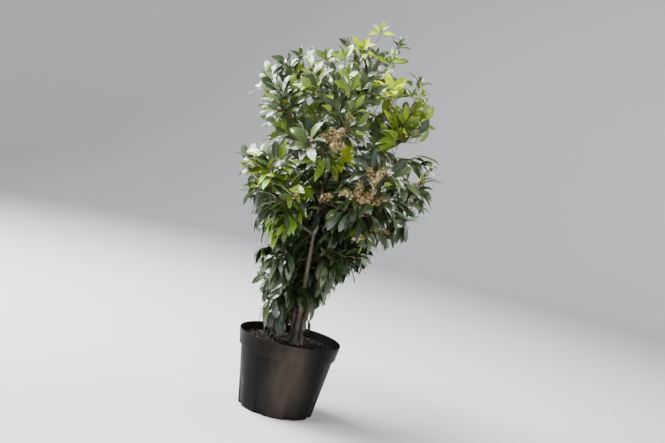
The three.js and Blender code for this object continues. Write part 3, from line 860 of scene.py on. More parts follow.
def grow_leaves():
    """The leaves of each mass, of which few cross, and the shoots that carry them up to their last leaf."""
    room, crown, shoots = Room(), [], []
    for path, _ in RACEMES:
        room.hold(around(path))
    for own, (twigs, marks, _) in enumerate(MASSES):
        leaves = []
        for mark, tint in sprays_of(own, marks):
            spray = spray_leaves(mark, tint, room)
            for leaf in spray:
                leaf.tint = aged(leaf, leaf is spray[-1])
            leaves += spray
            if spray:
                shoots.append((mark, leaf_place(mark, spray[-1].key[3])))
        for twig in twigs:
            tint = tint_of(twig.origin, (own, twig.key, 8))
            leaves += twig_leaves(own, twig, min(tint, MID), room)
        crown.append(leaves)
    return crown, shoots


# Meshes

class Shape:
    """Points and faces gathered for one mesh, each face with the number of its finish."""

    def __init__(self):
        self.points, self.faces, self.slots, self.count = [], [], [], 0

    def add(self, points, faces, slots=0):
        points, faces = np.asarray(points, float).reshape(-1, 3), np.asarray(faces, int)
        self.points.append(points)
        self.faces.append(faces + self.count)
        self.slots.append(np.broadcast_to(slots, len(faces)))
        self.count += len(points)

    def add_fan(self, ring, middle, order=1):
        """Closes a ring of points with faces to its middle."""
        n = len(ring)
        self.add(np.concatenate([ring, [middle]]), [(c, (c + 1) % n, n)[::order] for c in range(n)])

    def mesh(self, name, shift=0):
        """The mesh of what was gathered, moved to the right by shift."""
        mesh = bpy.data.meshes.new(name)
        corners = np.concatenate([faces.ravel() for faces in self.faces])
        sizes = np.concatenate([np.full(len(faces), faces.shape[1]) for faces in self.faces])
        mesh.vertices.add(self.count)
        points = (np.concatenate(self.points) + (shift, 0, 0)) * MM
        mesh.vertices.foreach_set("co", points.astype(np.float32).ravel())
        mesh.loops.add(len(corners))
        mesh.polygons.add(len(sizes))
        mesh.polygons.foreach_set("loop_start", np.concatenate([[0], np.cumsum(sizes)[:-1]]))
        mesh.polygons.foreach_set("vertices", corners)
        mesh.polygons.foreach_set("material_index", np.concatenate(self.slots))
        mesh.polygons.foreach_set("use_smooth", np.ones(len(sizes), bool))
        mesh.update(calc_edges=True)
        return mesh


def in_scene(name, data):
    """A new object, linked to the scene."""
    thing = bpy.data.objects.new(name, data)
    bpy.context.scene.collection.objects.link(thing)
    return thing


def piece(name, mesh, finishes, nodes=()):
    """An object of the part: it rides on the part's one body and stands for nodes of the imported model."""
    thing = in_scene(name, mesh)
    for finish in finishes:
        mesh.materials.append(finish)
    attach(thing, "root")
    if nodes:
        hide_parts(*nodes)


def parts_of(things, *parts):
    """One array for each named part of some things."""
    return (np.array([getattr(thing, part) for thing in things]) for part in parts)


def angles(count):
    """The angles of equal steps round a circle."""
    return TURN * np.arange(count) / count


def turned_round(radius, angle, z):
    """Points round the upright axis, with a row for each radius and height."""
    return np.stack([radius * np.cos(angle), radius * np.sin(angle), z + 0 * angle], -1)


def grid_faces(rows, columns, around=False):
    """The faces of a grid of points, closed round its columns or not."""
    wide = columns if around else columns - 1
    r, c = np.meshgrid(np.arange(rows - 1), np.arange(wide), indexing="ij")
    right = (c + 1) % columns
    corners = [r * columns + c, r * columns + right, (r + 1) * columns + right, (r + 1) * columns + c]
    return np.stack(corners, -1).reshape(-1, 4)


def tube_points(centres, radii, sides):
    """Rings of points round one line of centres or many, with the radius of each ring."""
    ways = units(np.gradient(centres, axis=-2))
    level = np.abs(ways[..., :1, 2:3]) < 0.8
    reference = np.where(level, UP, np.array([1.0, 0.0, 0.0]))
    normal = units(reference - ways * (ways * reference).sum(-1, keepdims=True))
    binormal = np.cross(ways, normal)
    angle = angles(sides)[:, None]
    ring = normal[..., None, :] * np.cos(angle) + binormal[..., None, :] * np.sin(angle)
    return centres[..., None, :] + ring * radii[..., None, None]


def add_tubes(shape, centres, radii, sides, slots=0, end_radius=0.02):
    """Adds tubes with equally many rings, each closed to a point at its end."""
    tubes, rings = radii.shape
    tip = centres[:, -1:] * 2 - centres[:, -2:-1]
    tip = centres[:, -1:] + units(tip - centres[:, -1:]) * radii[:, -1:, None]
    centres = np.concatenate([centres, tip], axis=1)
    radii = np.concatenate([radii, np.full((tubes, 1), end_radius)], axis=1)
    points = tube_points(centres, radii, sides)
    faces = grid_faces(rings + 1, sides, around=True)
    offsets = np.arange(tubes)[:, None, None] * (rings + 1) * sides
    slots = np.repeat(np.broadcast_to(slots, tubes), len(faces))
    shape.add(points, (faces[None] + offsets).reshape(-1, 4), slots)


# Leaf blades

def blade_outline():
    """A blade's half width at each station, as a share of its greatest."""
    s = STATIONS
    half = 3.21 * s ** 0.75 * (1 - s) ** 0.95
    half[0], half[-1] = 0.05, 0.02
    return half


def blade_sections(width, key):
    """The sections across many blades: how far each point is beside its midrib, and above it."""
    s = STATIONS
    half = blade_outline() * width / 2
    teeth = 1 + BLADE["teeth"] * (-1.0) ** np.arange(len(s))
    rib = np.minimum(RIB["half"] * (1 - RIB["narrowing"] * s), RIB["most"] * half)
    inner = BLADE["inner"] * half
    across = np.stack([-half * teeth, -inner, -rib, rib, inner, half * teeth], -1)
    share = np.abs(across) / half[..., None]
    wave = BLADE["wave"] * width * np.sin(TURN * (BLADE["waves"] * s + key[:, 5:6]))
    fold = np.radians(varied(BLADE["fold"], key[:, 2:3]))[..., None]
    up = np.abs(across) * np.sin(fold) + wave[..., None] * share ** 2 * np.sign(across)
    up = up - BLADE["edge_drop"] * half[..., None] * share ** 3
    flat = across * np.cos(fold)
    twist = (BLADE["twist"] * (key[:, 3:4] - 0.5) * s)[..., None]
    return flat * np.cos(twist) - up * np.sin(twist), flat * np.sin(twist) + up * np.cos(twist)


def blade_points(leaves):
    """The points of many blades: upper sides, then the inner points of their undersides."""
    n, s = len(leaves), STATIONS
    key = np.array([[chance(*leaf.key, 50 + k) for k in range(6)] for leaf in leaves])
    root, way, face = (part[:, None, None] for part in parts_of(leaves, "root", "way", "face"))
    length = np.array([leaf.length for leaf in leaves])[:, None]
    side = np.cross(way, face)
    hanging = np.clip(-way[:, 0, 0, 2:], 0, 1)
    width = LEAF["width"] / LEAF["length"] * length
    width = width * (varied(BLADE["width"], key[:, :1]) - BLADE["hanging"] * hanging)
    heading = BLADE["rise"] - varied(BLADE["bend"], key[:, 1:2]) * s ** 1.4
    step = np.diff(s, prepend=0) * length
    forward = np.cumsum(np.cos(heading) * step, axis=1)[..., None]
    rise = np.cumsum(np.sin(heading) * step, axis=1)[..., None]
    sideways = (BLADE["sickle"] * (key[:, 4:5] - 0.5) * length * s * s)[..., None]
    heading = heading[..., None]

    def placed(lateral, lift):
        along = forward - lift * np.sin(heading)
        above = rise + lift * np.cos(heading)
        beside = lateral + sideways
        return root + way * along[..., None] + side * beside[..., None] + face * above[..., None]

    flat, up = blade_sections(width, key)
    thick = BLADE["thickness"] + RIB["depth"] * (1 - RIB["thinning"] * s)
    middle = up[..., 2:4].mean(-1, keepdims=True) - thick[:, None]
    lower = placed(flat[..., 2:4].mean(-1, keepdims=True), middle)[:, 1:-1]
    return np.concatenate([placed(flat, up).reshape(n, -1, 3), lower.reshape(n, -1, 3)], axis=1)


def blade_faces():
    """The faces of one blade, which of them are upper, rib or lower, and which points are on its edge."""
    rows, columns = len(STATIONS), 6
    upper = grid_faces(rows, columns)
    number = np.arange(rows * columns).reshape(rows, columns)[:, [0, 2, 5]]
    number[1:-1, 1] = rows * columns + np.arange(rows - 2)
    lower = number.ravel()[grid_faces(rows, 3)[:, ::-1]]
    middle = np.tile(np.arange(columns - 1) == 2, rows - 1)
    kinds = np.concatenate([np.where(middle, 1, 0), np.full(len(lower), 2)])
    edge = np.zeros((rows, columns), bool)
    edge[[0, -1]] = True
    edge[:, [0, -1]] = True
    return np.concatenate([upper, lower]), kinds, np.append(edge.ravel(), np.zeros(rows - 2, bool))


def sharpen(mesh, on_edge):
    """Keeps the two sides of each blade apart in shading, along its edge."""
    ends = np.zeros(len(mesh.edges) * 2, np.int32)
    mesh.edges.foreach_get("vertices", ends)
    sharp = on_edge[ends.reshape(-1, 2)].all(axis=1)
    mesh.attributes.new("sharp_edge", "BOOLEAN", "EDGE").data.foreach_set("value", sharp)


def leaf_mesh(name, leaves):
    """One mesh of many blades. Its finishes are an upper side for each tint, then ribs and undersides."""
    faces, kinds, edge = blade_faces()
    points = blade_points(leaves)
    n, each = points.shape[:2]
    tints = np.array([leaf.tint for leaf in leaves])
    young = tints >= FRESH
    slots = np.select([kinds == 0, kinds == 1], [tints[:, None], len(TINTS) + young[:, None]],
                      len(TINTS) + 2 + young[:, None])
    shape = Shape()
    shape.add(points, (faces[None] + (np.arange(n) * each)[:, None, None]).reshape(-1, 4), slots.ravel())
    mesh = shape.mesh(name, SHRUB_PLACE)
    sharpen(mesh, np.tile(edge, n))
    return mesh


# Finishes. The places and the heights of bumps in them are in metres.

LEAF_GLOSS = {"roughness": 0.32, "specular": 0.6, "coat": 0.55}
LIME_GLOSS = {"roughness": 0.6, "specular": 0.12}
COAT_ROUGHNESS = 0.18
# The colour of a finish until its nodes are linked
GREY = (0.8, 0.8, 0.8)


def set_inputs(node, values):
    for name, value in values.items():
        node.inputs[name].default_value = value


def plain_finish(name, colour, roughness, specular=0.5, coat=0.0):
    material = bpy.data.materials.new(name)
    material.use_nodes = True
    set_inputs(material.node_tree.nodes["Principled BSDF"], {
        "Base Color": (*colour, 1), "Roughness": roughness, "Specular IOR Level": specular,
        "Coat Weight": coat, "Coat Roughness": COAT_ROUGHNESS,
    })
    return material


def plain_finishes(rows):
    return [plain_finish(*row) for row in rows]


def leaf_finishes():
    tops = [plain_finish(*tint, **LEAF_GLOSS) for tint in TINTS[:LIME]]
    tops.append(plain_finish(*TINTS[LIME], **LIME_GLOSS))
    return tops + plain_finishes(RIB_COLOURS + UNDERSIDE_COLOURS)


class Nodes:
    """Short calls for a material's node tree."""

    def __init__(self, name, roughness, specular=0.5):
        self.material = plain_finish(name, GREY, roughness, specular)
        self.tree = self.material.node_tree
        self.shader = self.tree.nodes["Principled BSDF"]
        self.place = self.tree.nodes.new("ShaderNodeTexCoord").outputs["Object"]

    def put(self, value, socket):
        """Links a socket to an input, or sets the input to a number or colour."""
        if isinstance(value, bpy.types.NodeSocket):
            self.tree.links.new(value, socket)
        else:
            socket.default_value = value

    def node(self, kind, **inputs):
        node = self.tree.nodes.new("ShaderNode" + kind)
        for name, value in inputs.items():
            self.put(value, node.inputs[name])
        return node

    def stretched(self, scale):
        return self.node("Mapping", Scale=scale, Vector=self.place).outputs["Vector"]

    def grain(self, scale, detail=4.0, place=None, distortion=0.0):
        vector = place or self.place
        node = self.node("TexNoise", Scale=scale, Detail=detail, Distortion=distortion, Vector=vector)
        return node.outputs["Fac"]

    def near(self, middle, reach):
        """1 at a place of the part, falling to 0 at its reach along each axis."""
        node = self.node("Mapping", Location=middle, Scale=reach, Vector=self.place)
        node.vector_type = "TEXTURE"
        ball = self.node("TexGradient", Vector=node.outputs["Vector"])
        ball.gradient_type = "QUADRATIC_SPHERE"
        return ball.outputs["Fac"]

    def ramp(self, value, stops):
        node = self.node("ValToRGB", Fac=value)
        while len(node.color_ramp.elements) < len(stops):
            node.color_ramp.elements.new(0.5)
        for element, (position, colour) in zip(node.color_ramp.elements, stops):
            element.position = position
            element.color = (*colour, 1) if len(colour) == 3 else (colour[0],) * 3 + (1,)
        return node.outputs["Color"]

    def share(self, value, *stops):
        """A number that follows a value: each stop is a value and the number there."""
        return self.ramp(value, [(position, (level,)) for position, level in stops])

    def mix(self, fac, a, b):
        node = self.node("Mix")
        node.data_type = "RGBA"
        for value, socket in ((fac, 0), (a, 6), (b, 7)):
            colour = isinstance(value, tuple)
            self.put((*value, 1) if colour else value, node.inputs[socket])
        return node.outputs[2]

    def bump(self, height, strength, distance):
        node = self.node("Bump", Strength=strength, Distance=distance, Height=height)
        self.tree.links.new(node.outputs["Normal"], self.shader.inputs["Normal"])

    def colour(self, value):
        self.tree.links.new(value, self.shader.inputs["Base Color"])

    def roughness(self, value):
        self.tree.links.new(value, self.shader.inputs["Roughness"])


def bark_finish():
    n = Nodes("bark", 0.75)
    broad = n.grain(60, place=n.stretched((1, 1, 0.35)))
    fine = n.grain(420, detail=6)
    spots = n.grain(330, place=n.stretched((1, 1, 2.2)))
    base = n.ramp(broad, [(0.32, (0.105, 0.082, 0.056)), (0.52, (0.185, 0.153, 0.110)),
                          (0.72, (0.285, 0.248, 0.190))])
    worn = n.mix(n.share(fine, (0.42, 0.0), (0.72, 0.6)), base, (0.080, 0.056, 0.046))
    n.colour(n.mix(n.share(spots, (0.62, 0.0), (0.68, 0.85)), worn, (0.380, 0.330, 0.250)))
    n.bump(fine, 0.35, 0.0006)
    return n.material


def pot_finish():
    """Black plastic, with dry compost dust in streaks, and a broad, brownish painted highlight on its front.
    """
    n = Nodes("pot_plastic", 0.46, specular=0.05)
    dust = n.grain(9, detail=6, distortion=0.6)
    streaks = n.grain(38, detail=3, place=n.stretched((1, 1, 0.08)))
    specks = n.grain(260, detail=3)
    base = n.ramp(streaks, [(0.3, (0.005, 0.005, 0.006)), (0.7, (0.008, 0.008, 0.008))])
    dusty = n.mix(n.share(dust, (0.42, 0.0), (0.74, 0.18)), base, (0.050, 0.040, 0.030))
    # Painted highlight: the next lines put a lighter, warm brown band into the colour of the pot's front,
    # where a broad reflection of the light would fall.
    painted_highlight = n.ramp(streaks, [(0.35, (0.052, 0.041, 0.033)), (0.65, (0.074, 0.058, 0.046))])
    place = n.share(n.near((0.023, -0.136, 0.12), (0.105, 0.13, 0.27)), (0.0, 0.0), (0.5, 0.85))
    with_painted_highlight = n.mix(place, dusty, painted_highlight)
    n.colour(n.mix(n.share(specks, (0.66, 0.0), (0.72, 0.30)), with_painted_highlight, (0.110, 0.092, 0.075)))
    n.roughness(n.share(dust, (0.35, 0.36), (0.75, 0.62)))
    n.bump(n.grain(900, detail=2), 0.12, 0.0004)
    return n.material


def soil_finish():
    # The compost is dark in itself and is made darker still as painted shade of the pot's inside, under the
    # crown.
    n = Nodes("compost", 0.95, specular=0.25)
    broad, fine = n.grain(45), n.grain(520, detail=5)
    base = n.ramp(broad, [(0.35, (0.006, 0.005, 0.004)), (0.65, (0.014, 0.010, 0.008))])
    n.colour(n.mix(n.share(fine, (0.45, 0.0), (0.70, 0.6)), base, (0.032, 0.019, 0.014)))
    n.bump(fine, 0.8, 0.002)
    return n.material


# Wood

STEM_RING = 3.2
STEM_SIDES = 16
BARK = {"node_every": 31, "node_swell": 0.55, "node_width": 4.5}
COLLAR = {"swell": 2.6, "reach": 9}
STOOL = {"rings": 34, "sides": 72, "roots": 6, "root_swell": 6.5, "root_reach": 16, "buried": 5, "top": 9,
         "height": 40, "dome": 3, "fall": 2.2}
STEM_FOOT = {"ring": 20, "swell": 2.2, "rings": 18}
TWIG_TUBE = {"rings": 12, "sides": 8, "collar": 1.2, "collar_reach": 5, "ripple": 0.1, "ripple_length": 4.3}
TWIG_USE = {"least": 0.12, "first": 0.14, "steps": 44, "near": 4}
SHOOT_TUBE = {"rings": 7, "sides": 6, "sink": 0.03, "red": 0.55}
PETIOLE_TUBE = {"rings": 5, "sides": 5, "foot": 1.15, "end": 0.8, "sag": 0.08}
PETIOLE_COLOURS = [("petiole_red", (0.150, 0.050, 0.030), 0.45),
                   ("petiole_green", (0.270, 0.260, 0.060), 0.45)]
TWIG_COLOURS = [("twig_bark", (0.130, 0.075, 0.045), 0.6), ("shoot_red", (0.140, 0.045, 0.030), 0.45),
                ("shoot_green", (0.130, 0.140, 0.040), 0.45)]
# Layers of bumps: the height of each, its scale, the number of its noise, and how its scale changes upwards
BARK_BUMPS = ((0.35, 0.16, 0, 0.25), (0.16, 0.55, 40, 1))
STOOL_BUMPS = ((1.5, 0.09, 70, 0.4), (0.4, 0.4, 71, 1))
SOIL_BUMPS = ((1, 0.05, 80, 1), (0.6, 0.16, 81, 1), (0.3, 0.5, 82, 1))


def perlin_at(points, scale, seed):
    """Smooth noise from -1 to 1 at points."""
    shift = Vector((seed * 7.3, seed * 3.1, seed * 5.7))
    return np.array([perlin.noise(Vector(p) * scale + shift) for p in points.reshape(-1, 3)]).reshape(
        points.shape[:-1])


def bumps(points, layers, seed=0):
    """How high layers of bumps stand at points."""
    return sum(height * perlin_at(points * (1, 1, upwards), scale, seed + number)
               for height, scale, number, upwards in layers)


def stem_foot(stem):
    """The part of a stem below its start, down into the soil beside the others: centres and radii."""
    ring = STEM_FOOT["ring"] * (math.hypot(*stem.path.start[:2]) > STOOL_RING / 2)
    low = outward_of(stem.path.start) * ring + UP * (SOIL_LEVEL - STOOL["buried"])
    s = np.linspace(0, 1, STEM_FOOT["rings"], endpoint=False)[:, None]
    ease = s * (2 - s)
    centres = lerp(low, stem.path.start, ease) * LEVEL + lerp(low, stem.path.start, s) * UP
    return centres, stem.path.thick + STEM_FOOT["swell"] * (1 - s[:, 0]) ** 2


def stem_surface(stem, own):
    """A stem's surface, from foot to tip: swollen at its nodes and at its fork, and with fine ridges."""
    rings = max(8, int(stem.path.length / STEM_RING))
    t = np.linspace(0, 1, rings)
    run = t * stem.path.length
    radii = stem.path.radius(t)
    place = (run / BARK["node_every"] + noise(own, 4, 4)) % 1
    beside = np.minimum(place, 1 - place) * BARK["node_every"]
    node = BARK["node_swell"] * np.exp(-(beside / BARK["node_width"]) ** 2)
    radii = radii + node * radii / stem.path.thick
    centres = stem.path.at(t)
    if stem.ring < 2:
        foot, foot_radii = stem_foot(stem)
        centres, radii = np.concatenate([foot, centres]), np.concatenate([foot_radii, radii])
    else:
        radii = radii + COLLAR["swell"] * np.exp(-run / COLLAR["reach"])
    plain = tube_points(centres, radii, STEM_SIDES)
    swell = bumps(plain, BARK_BUMPS, own) * (radii / stem.path.thick)[:, None]
    return plain + units(plain - centres[:, None]) * swell[..., None]


def stool_surface():
    """The stool's surface between the stems' feet, with roots that swell towards the soil."""
    t = np.linspace(0, 1, STOOL["rings"])[:, None]
    angle = angles(STOOL["sides"])[None]
    z = SOIL_LEVEL - STOOL["buried"] + t * (STOOL["height"] + STOOL["buried"])
    radius = STOOL["top"] + (STOOL_FLARE - STOOL["top"] - 3) * (1 - t) ** STOOL["fall"]
    lobes = np.cos(STOOL["roots"] * angle + 1.3 * np.sin(angle + 0.7) + 0.8)
    radius = radius + STOOL["root_swell"] * lobes * np.exp(-t * STOOL["height"] / STOOL["root_reach"])
    points = turned_round(radius, angle, z)
    return points + outward_of(points) * bumps(points, STOOL_BUMPS)[..., None]


def wood_mesh():
    """The stool and the stems, each closed at its top."""
    shape = Shape()
    stool = stool_surface()
    shape.add(stool, grid_faces(*stool.shape[:2], around=True))
    shape.add_fan(stool[-1], stool[-1].mean(axis=0) + UP * STOOL["dome"])
    for own, stem in enumerate(STEMS):
        surface = stem_surface(stem, own)
        shape.add(surface, grid_faces(len(surface), STEM_SIDES, around=True))
        shape.add_fan(surface[-1], surface[-1].mean(axis=0) + stem.path.along(1.0) * 2)
    return shape.mesh("bark", SHRUB_PLACE)


def carried_by_twigs(crown, shoots):
    """Where something stands on the twigs of each mass."""
    carried = [[leaf.foot for leaf in leaves] for leaves in crown]
    for mark, _ in shoots:
        carried[mark.key[0]].append(mark.root)
    for mark, stalk, _ in TOP:
        carried[mark.key[0]].append(stalk.start)
    return carried


def used_share(path, places):
    """How far along a twig the last thing that it carries stands."""
    if not places:
        return TWIG_USE["least"]
    shares = np.linspace(TWIG_USE["first"], 1, TWIG_USE["steps"])
    away = np.linalg.norm(path.at(shares)[:, None] - np.array(places), axis=-1).min(axis=1)
    used = shares[away < TWIG_USE["near"]]
    return used[-1] if len(used) else TWIG_USE["least"]


def add_paths(shape, paths, t, sides, slots):
    """Adds a tube along each path, with a ring of points at each share in t."""
    centres = np.array([path.at(t) for path in paths])
    add_tubes(shape, centres, np.array([path.radius(t) for path in paths]), sides, slots)


def add_twigs(shape, crown, shoots):
    """Adds the twigs, each as far as the last thing that it carries."""
    carried = carried_by_twigs(crown, shoots)
    pairs = [(twig.path(), carried[own]) for own, (mass, _, _) in enumerate(MASSES) for twig in mass]
    t = np.linspace(0, 1, TWIG_TUBE["rings"]) * np.array([used_share(*pair) for pair in pairs])[:, None]
    rows = [(path, row) for (path, _), row in zip(pairs, t)]
    run = np.array([path.length for path, _ in pairs])[:, None] * t
    ripple = 1 + TWIG_TUBE["ripple"] * np.sin(run / TWIG_TUBE["ripple_length"])
    collar = TWIG_TUBE["collar"] * np.exp(-run / TWIG_TUBE["collar_reach"])
    radii = np.array([path.radius(row) for path, row in rows]) * ripple + collar
    add_tubes(shape, np.array([path.at(row) for path, row in rows]), radii, TWIG_TUBE["sides"])


def twig_mesh(crown, shoots):
    """Twigs in young bark, and in red or green the shoots and the stalks of the top and the flowers."""
    shape = Shape()
    add_twigs(shape, crown, shoots)
    t = np.linspace(-SHOOT_TUBE["sink"], 1, SHOOT_TUBE["rings"])
    centres = np.array([shoot_points(mark, t * end) for mark, end in shoots])
    radii = np.broadcast_to(lerp(SHOOT["radius"], SHOOT["tip_radius"], t), centres.shape[:2])
    slots = [1 + (chance(*mark.key, 60) > SHOOT_TUBE["red"]) for mark, _ in shoots]
    add_tubes(shape, centres, radii, SHOOT_TUBE["sides"], slots)
    stalks = [stalk for _, stalk, _ in TOP] + [stalk for _, stalk in RACEMES if stalk]
    slots = [1 + k % 2 for k in range(len(stalks))]
    add_paths(shape, stalks, np.linspace(0, 1, TWIG_TUBE["rings"]), SHOOT_TUBE["sides"], slots)
    return shape.mesh("twigs", SHRUB_PLACE)


def petiole_mesh(leaves):
    shape = Shape()
    t = np.linspace(0, 1, PETIOLE_TUBE["rings"])[None, :, None]
    foot, root, way, length = parts_of(leaves, "foot", "root", "way", "length")
    run = np.linalg.norm(root - foot, axis=1)[:, None, None]
    sag = -PETIOLE_TUBE["sag"] * run * np.sin(math.pi * t) * UP
    centres = foot[:, None] + (root + way * 2 - foot)[:, None] * t + sag
    scale = length[:, None] / LEAF["length"]
    radii = lerp(PETIOLE_TUBE["foot"], PETIOLE_TUBE["end"], t[..., 0]) * scale
    young = [int(leaf.tint >= BRIGHT) for leaf in leaves]
    add_tubes(shape, centres, radii, PETIOLE_TUBE["sides"], young)
    return shape.mesh("petioles", SHRUB_PLACE)


# Blossom: short racemes of small flowers, with buds towards the end of each

RACEME = {"length": 62, "flowers": 24, "first": 0.12, "foot": 1.0, "tip": 0.5, "spread": 40, "beside": 2,
          "buds_from": 0.86, "buds": 0.12, "reach": 9, "bend": 0.55, "share": (0.82, 0.3),
          "sag": (0.1, 0.16)}
FLOWER = {"petals": 5, "petal": 4.7, "petal_width": 4.0, "stalk": 12, "stalk_radius": 0.4, "cup": 1.5,
          "cup_radius": 0.8, "stamens": 6, "stamen": 3.6, "stamen_width": 0.32, "lift": (0.25, 0.5),
          "size": (0.8, 0.35)}
# How a flower changes from the raceme's foot to its end: its size, its stalk, and how far it points forward
ALONG_RACEME = {"size": (1.0, 0.72), "stalk": (1.15, 0.6), "forward": (0.15, 0.9)}
PETAL = {"belly": 0.55, "cup": 0.18, "end": 0.95, "rise": 0.6}
STAMEN_WAY = {"foot": 0.3, "out": 0.62, "up": 0.9}
BUD_SIDES = 5
# The rings of a bud, the first and last of them points: how far along it each is, and its radius
BUD_RINGS = ((-1, 0), (-0.3, 0.85), (0.5, 0.7), (1.1, 0))
BLOOM = [
    ("petal_cream", (0.620, 0.510, 0.290), 0.6), ("petal_tan", (0.420, 0.290, 0.120), 0.6),
    ("petal_withered", (0.200, 0.110, 0.040), 0.7), ("stamen", (0.420, 0.250, 0.070), 0.6),
    ("flower_cup", (0.230, 0.160, 0.050), 0.6), ("flower_stalk", (0.200, 0.220, 0.060), 0.5),
]
CREAM, TAN, WITHERED, STAMEN, CUP, FLOWER_STALK = range(6)
# The share of flowers up to each finish of BLOOM: petals are cream, tan or withered
PETALS = ((0.34, CREAM), (0.74, TAN), (1.0, WITHERED))
# Clusters of racemes at the front: sideways place and height of the middle, width, height, and how many
BLOOM_PLACES = [(-9, 824, 48, 66, 6), (113, 746, 50, 36, 4), (94, 692, 96, 36, 7), (-4, 668, 20, 16, 1),
                (104, 574, 20, 16, 1)]
BLOOM_SINK = 34
BLOOM_STALK = {"radius": 1.1, "sag": 6}
BLOOM_WAY = {"across": 0.7, "front": -0.75, "up": (0.45, 0.5)}


def spike_racemes():
    """A few racemes from the foot of each of the source's spikes."""
    made = []
    for n, spike in enumerate(path for _, _, spikes in MASSES for path in spikes):
        way = units(spike.end - spike.start)
        for k in range(1 + RACEME["beside"] * (way[1] > 0)):
            side = turned(across_of(way), way, TURN * chance(n, k, 3) + GOLDEN_ANGLE * k)
            spread = math.radians(RACEME["spread"]) * (k > 0)
            path = raceme_path(spike.start, units(way * math.cos(spread) + side * math.sin(spread)), n, k)
            if not in_sky_gap(path.at(np.array([0.3, 0.6, 0.9]))):
                made.append((path, None))
    return made


def front_depth(x, z):
    """How far in front of the stool's middle the crown reaches."""
    middle, half = (np.interp(z, OUTLINE[:, 0], OUTLINE[:, column]) for column in (1, 2))
    return CROWN_DEPTH * math.sqrt(max(0, half ** 2 - (x - middle) ** 2))


def front_racemes():
    """The racemes at the named places of the front, each on a stalk from the nearest twig or shoot."""
    wood = [row[0] for row in wood_points(PLANT_TOP)]
    for _, marks, _ in MASSES:
        wood += [point for mark in marks for point in shoot_points(mark, (0.2, 0.5, 0.8))]
    wood = np.array(wood)
    made = []
    for n, (x, z, width, height, count) in enumerate(BLOOM_PLACES):
        for k in range(count):
            angle, reach = GOLDEN_ANGLE * k, math.sqrt((k + 0.5) / count)
            across, up = math.cos(angle) * reach, math.sin(angle) * reach
            middle = np.array([x + across * width / 2, 0, z + up * height / 2])
            middle[1] = BLOOM_SINK - front_depth(middle[0], middle[2])
            way = (across * BLOOM_WAY["across"], BLOOM_WAY["front"], varied(BLOOM_WAY["up"], up))
            way = units(np.array(way))
            start = middle - way * RACEME["length"] * RACEME["bend"]
            foot = wood[np.argmin(np.linalg.norm(wood - start, axis=1))]
            bend = (foot + start) / 2 - UP * BLOOM_STALK["sag"]
            stalk = Path(foot, bend, start, BLOOM_STALK["radius"], RACEME["foot"])
            made.append((raceme_path(start, way, 20 + n, k), stalk))
    return made


def raceme_path(start, way, n, k):
    """A raceme's own path, which sags to its end."""
    length = RACEME["length"] * varied(RACEME["share"], chance(n, k, 7))
    end = start + way * length - UP * length * varied(RACEME["sag"], chance(n, k, 8))
    return Path(start, start + way * length * RACEME["bend"], end, RACEME["foot"], RACEME["tip"])


def flower_parts(centre, way, size, key):
    """The corners of each petal and stamen of an open flower, with the number of its finish."""
    across = turned(across_of(way), way, TURN * chance(*key, 1))
    beside = np.cross(way, across)

    def outwards(turn):
        return across * math.cos(turn) + beside * math.sin(turn)

    petal = picked(chance(*key, 13), PETALS)
    reach, half = FLOWER["petal"] * size, FLOWER["petal_width"] * size / 2
    for k in range(FLOWER["petals"]):
        out = outwards(TURN * (k + 0.2 * chance(*key, 10 + k)) / FLOWER["petals"])
        side = np.cross(way, out)
        lift = varied(FLOWER["lift"], chance(*key, 20 + k))
        foot = centre + out * FLOWER["cup_radius"] * size
        belly = foot + out * reach * PETAL["belly"] + way * reach * PETAL["cup"] * lift
        end = foot + out * reach * PETAL["end"] + way * reach * lift * PETAL["rise"]
        yield [foot, belly + side * half, end, belly - side * half], petal
    for k in range(FLOWER["stamens"]):
        out = outwards(TURN * (k + chance(*key, 30 + k)) / FLOWER["stamens"])
        side = np.cross(way, out) * FLOWER["stamen_width"] * size
        foot = centre + way * STAMEN_WAY["foot"]
        end = centre + (out * STAMEN_WAY["out"] + way * STAMEN_WAY["up"]) * FLOWER["stamen"] * size
        yield [foot - side * 0.5, foot + side * 0.5, end + side, end - side], STAMEN


def bud_points(centre, way, size):
    """A small closed bud: two rings of points between two ends, and the faces of its caps and sides."""
    across = across_of(way)
    angle = angles(BUD_SIDES)[:, None]
    ring = across * np.cos(angle) + np.cross(way, across) * np.sin(angle)
    foot, low, high, end = (centre + way * size * s + ring * size * radius for s, radius in BUD_RINGS)
    rows = [foot[0], *low, *high, end[0]]
    steps = [(1 + k, 1 + (k + 1) % BUD_SIDES) for k in range(BUD_SIDES)]
    last = 2 * BUD_SIDES + 1
    caps = [(0, b, a) for a, b in steps] + [(a + BUD_SIDES, b + BUD_SIDES, last) for a, b in steps]
    return rows, caps, [(a, b, b + BUD_SIDES, a + BUD_SIDES) for a, b in steps]


def add_flower(shape, path, n, k):
    """Adds flower k of a raceme, or a bud near its end."""
    s = lerp(RACEME["first"], 1.0, k / (RACEME["flowers"] - 1))
    point, way = path.at(s), path.along(min(s, 0.98))
    turn = GOLDEN_ANGLE * k + TURN * chance(n, 1, 9)
    out = units(turned(across_of(way), way, turn) + way * lerp(*ALONG_RACEME["forward"], s))
    size = varied(FLOWER["size"], chance(n, k, 11)) * lerp(*ALONG_RACEME["size"], s)
    centre = point + out * FLOWER["stalk"] * size * lerp(*ALONG_RACEME["stalk"], s)
    stalk = np.array([[point, (point + centre) / 2 + way * 0.3, centre]])
    add_tubes(shape, stalk, np.full((1, 3), FLOWER["stalk_radius"]), 3, FLOWER_STALK)
    is_bud = s > RACEME["buds_from"] or chance(n, k, 12) < RACEME["buds"]
    rows, caps, sides = bud_points(centre, out, FLOWER["cup"] * size)
    for faces in (caps, sides):
        shape.add(rows, faces, TAN if is_bud else CUP)
    if not is_bud:
        for corners, finish in flower_parts(centre, out, size, (n, k)):
            shape.add(corners, [range(4)], finish)


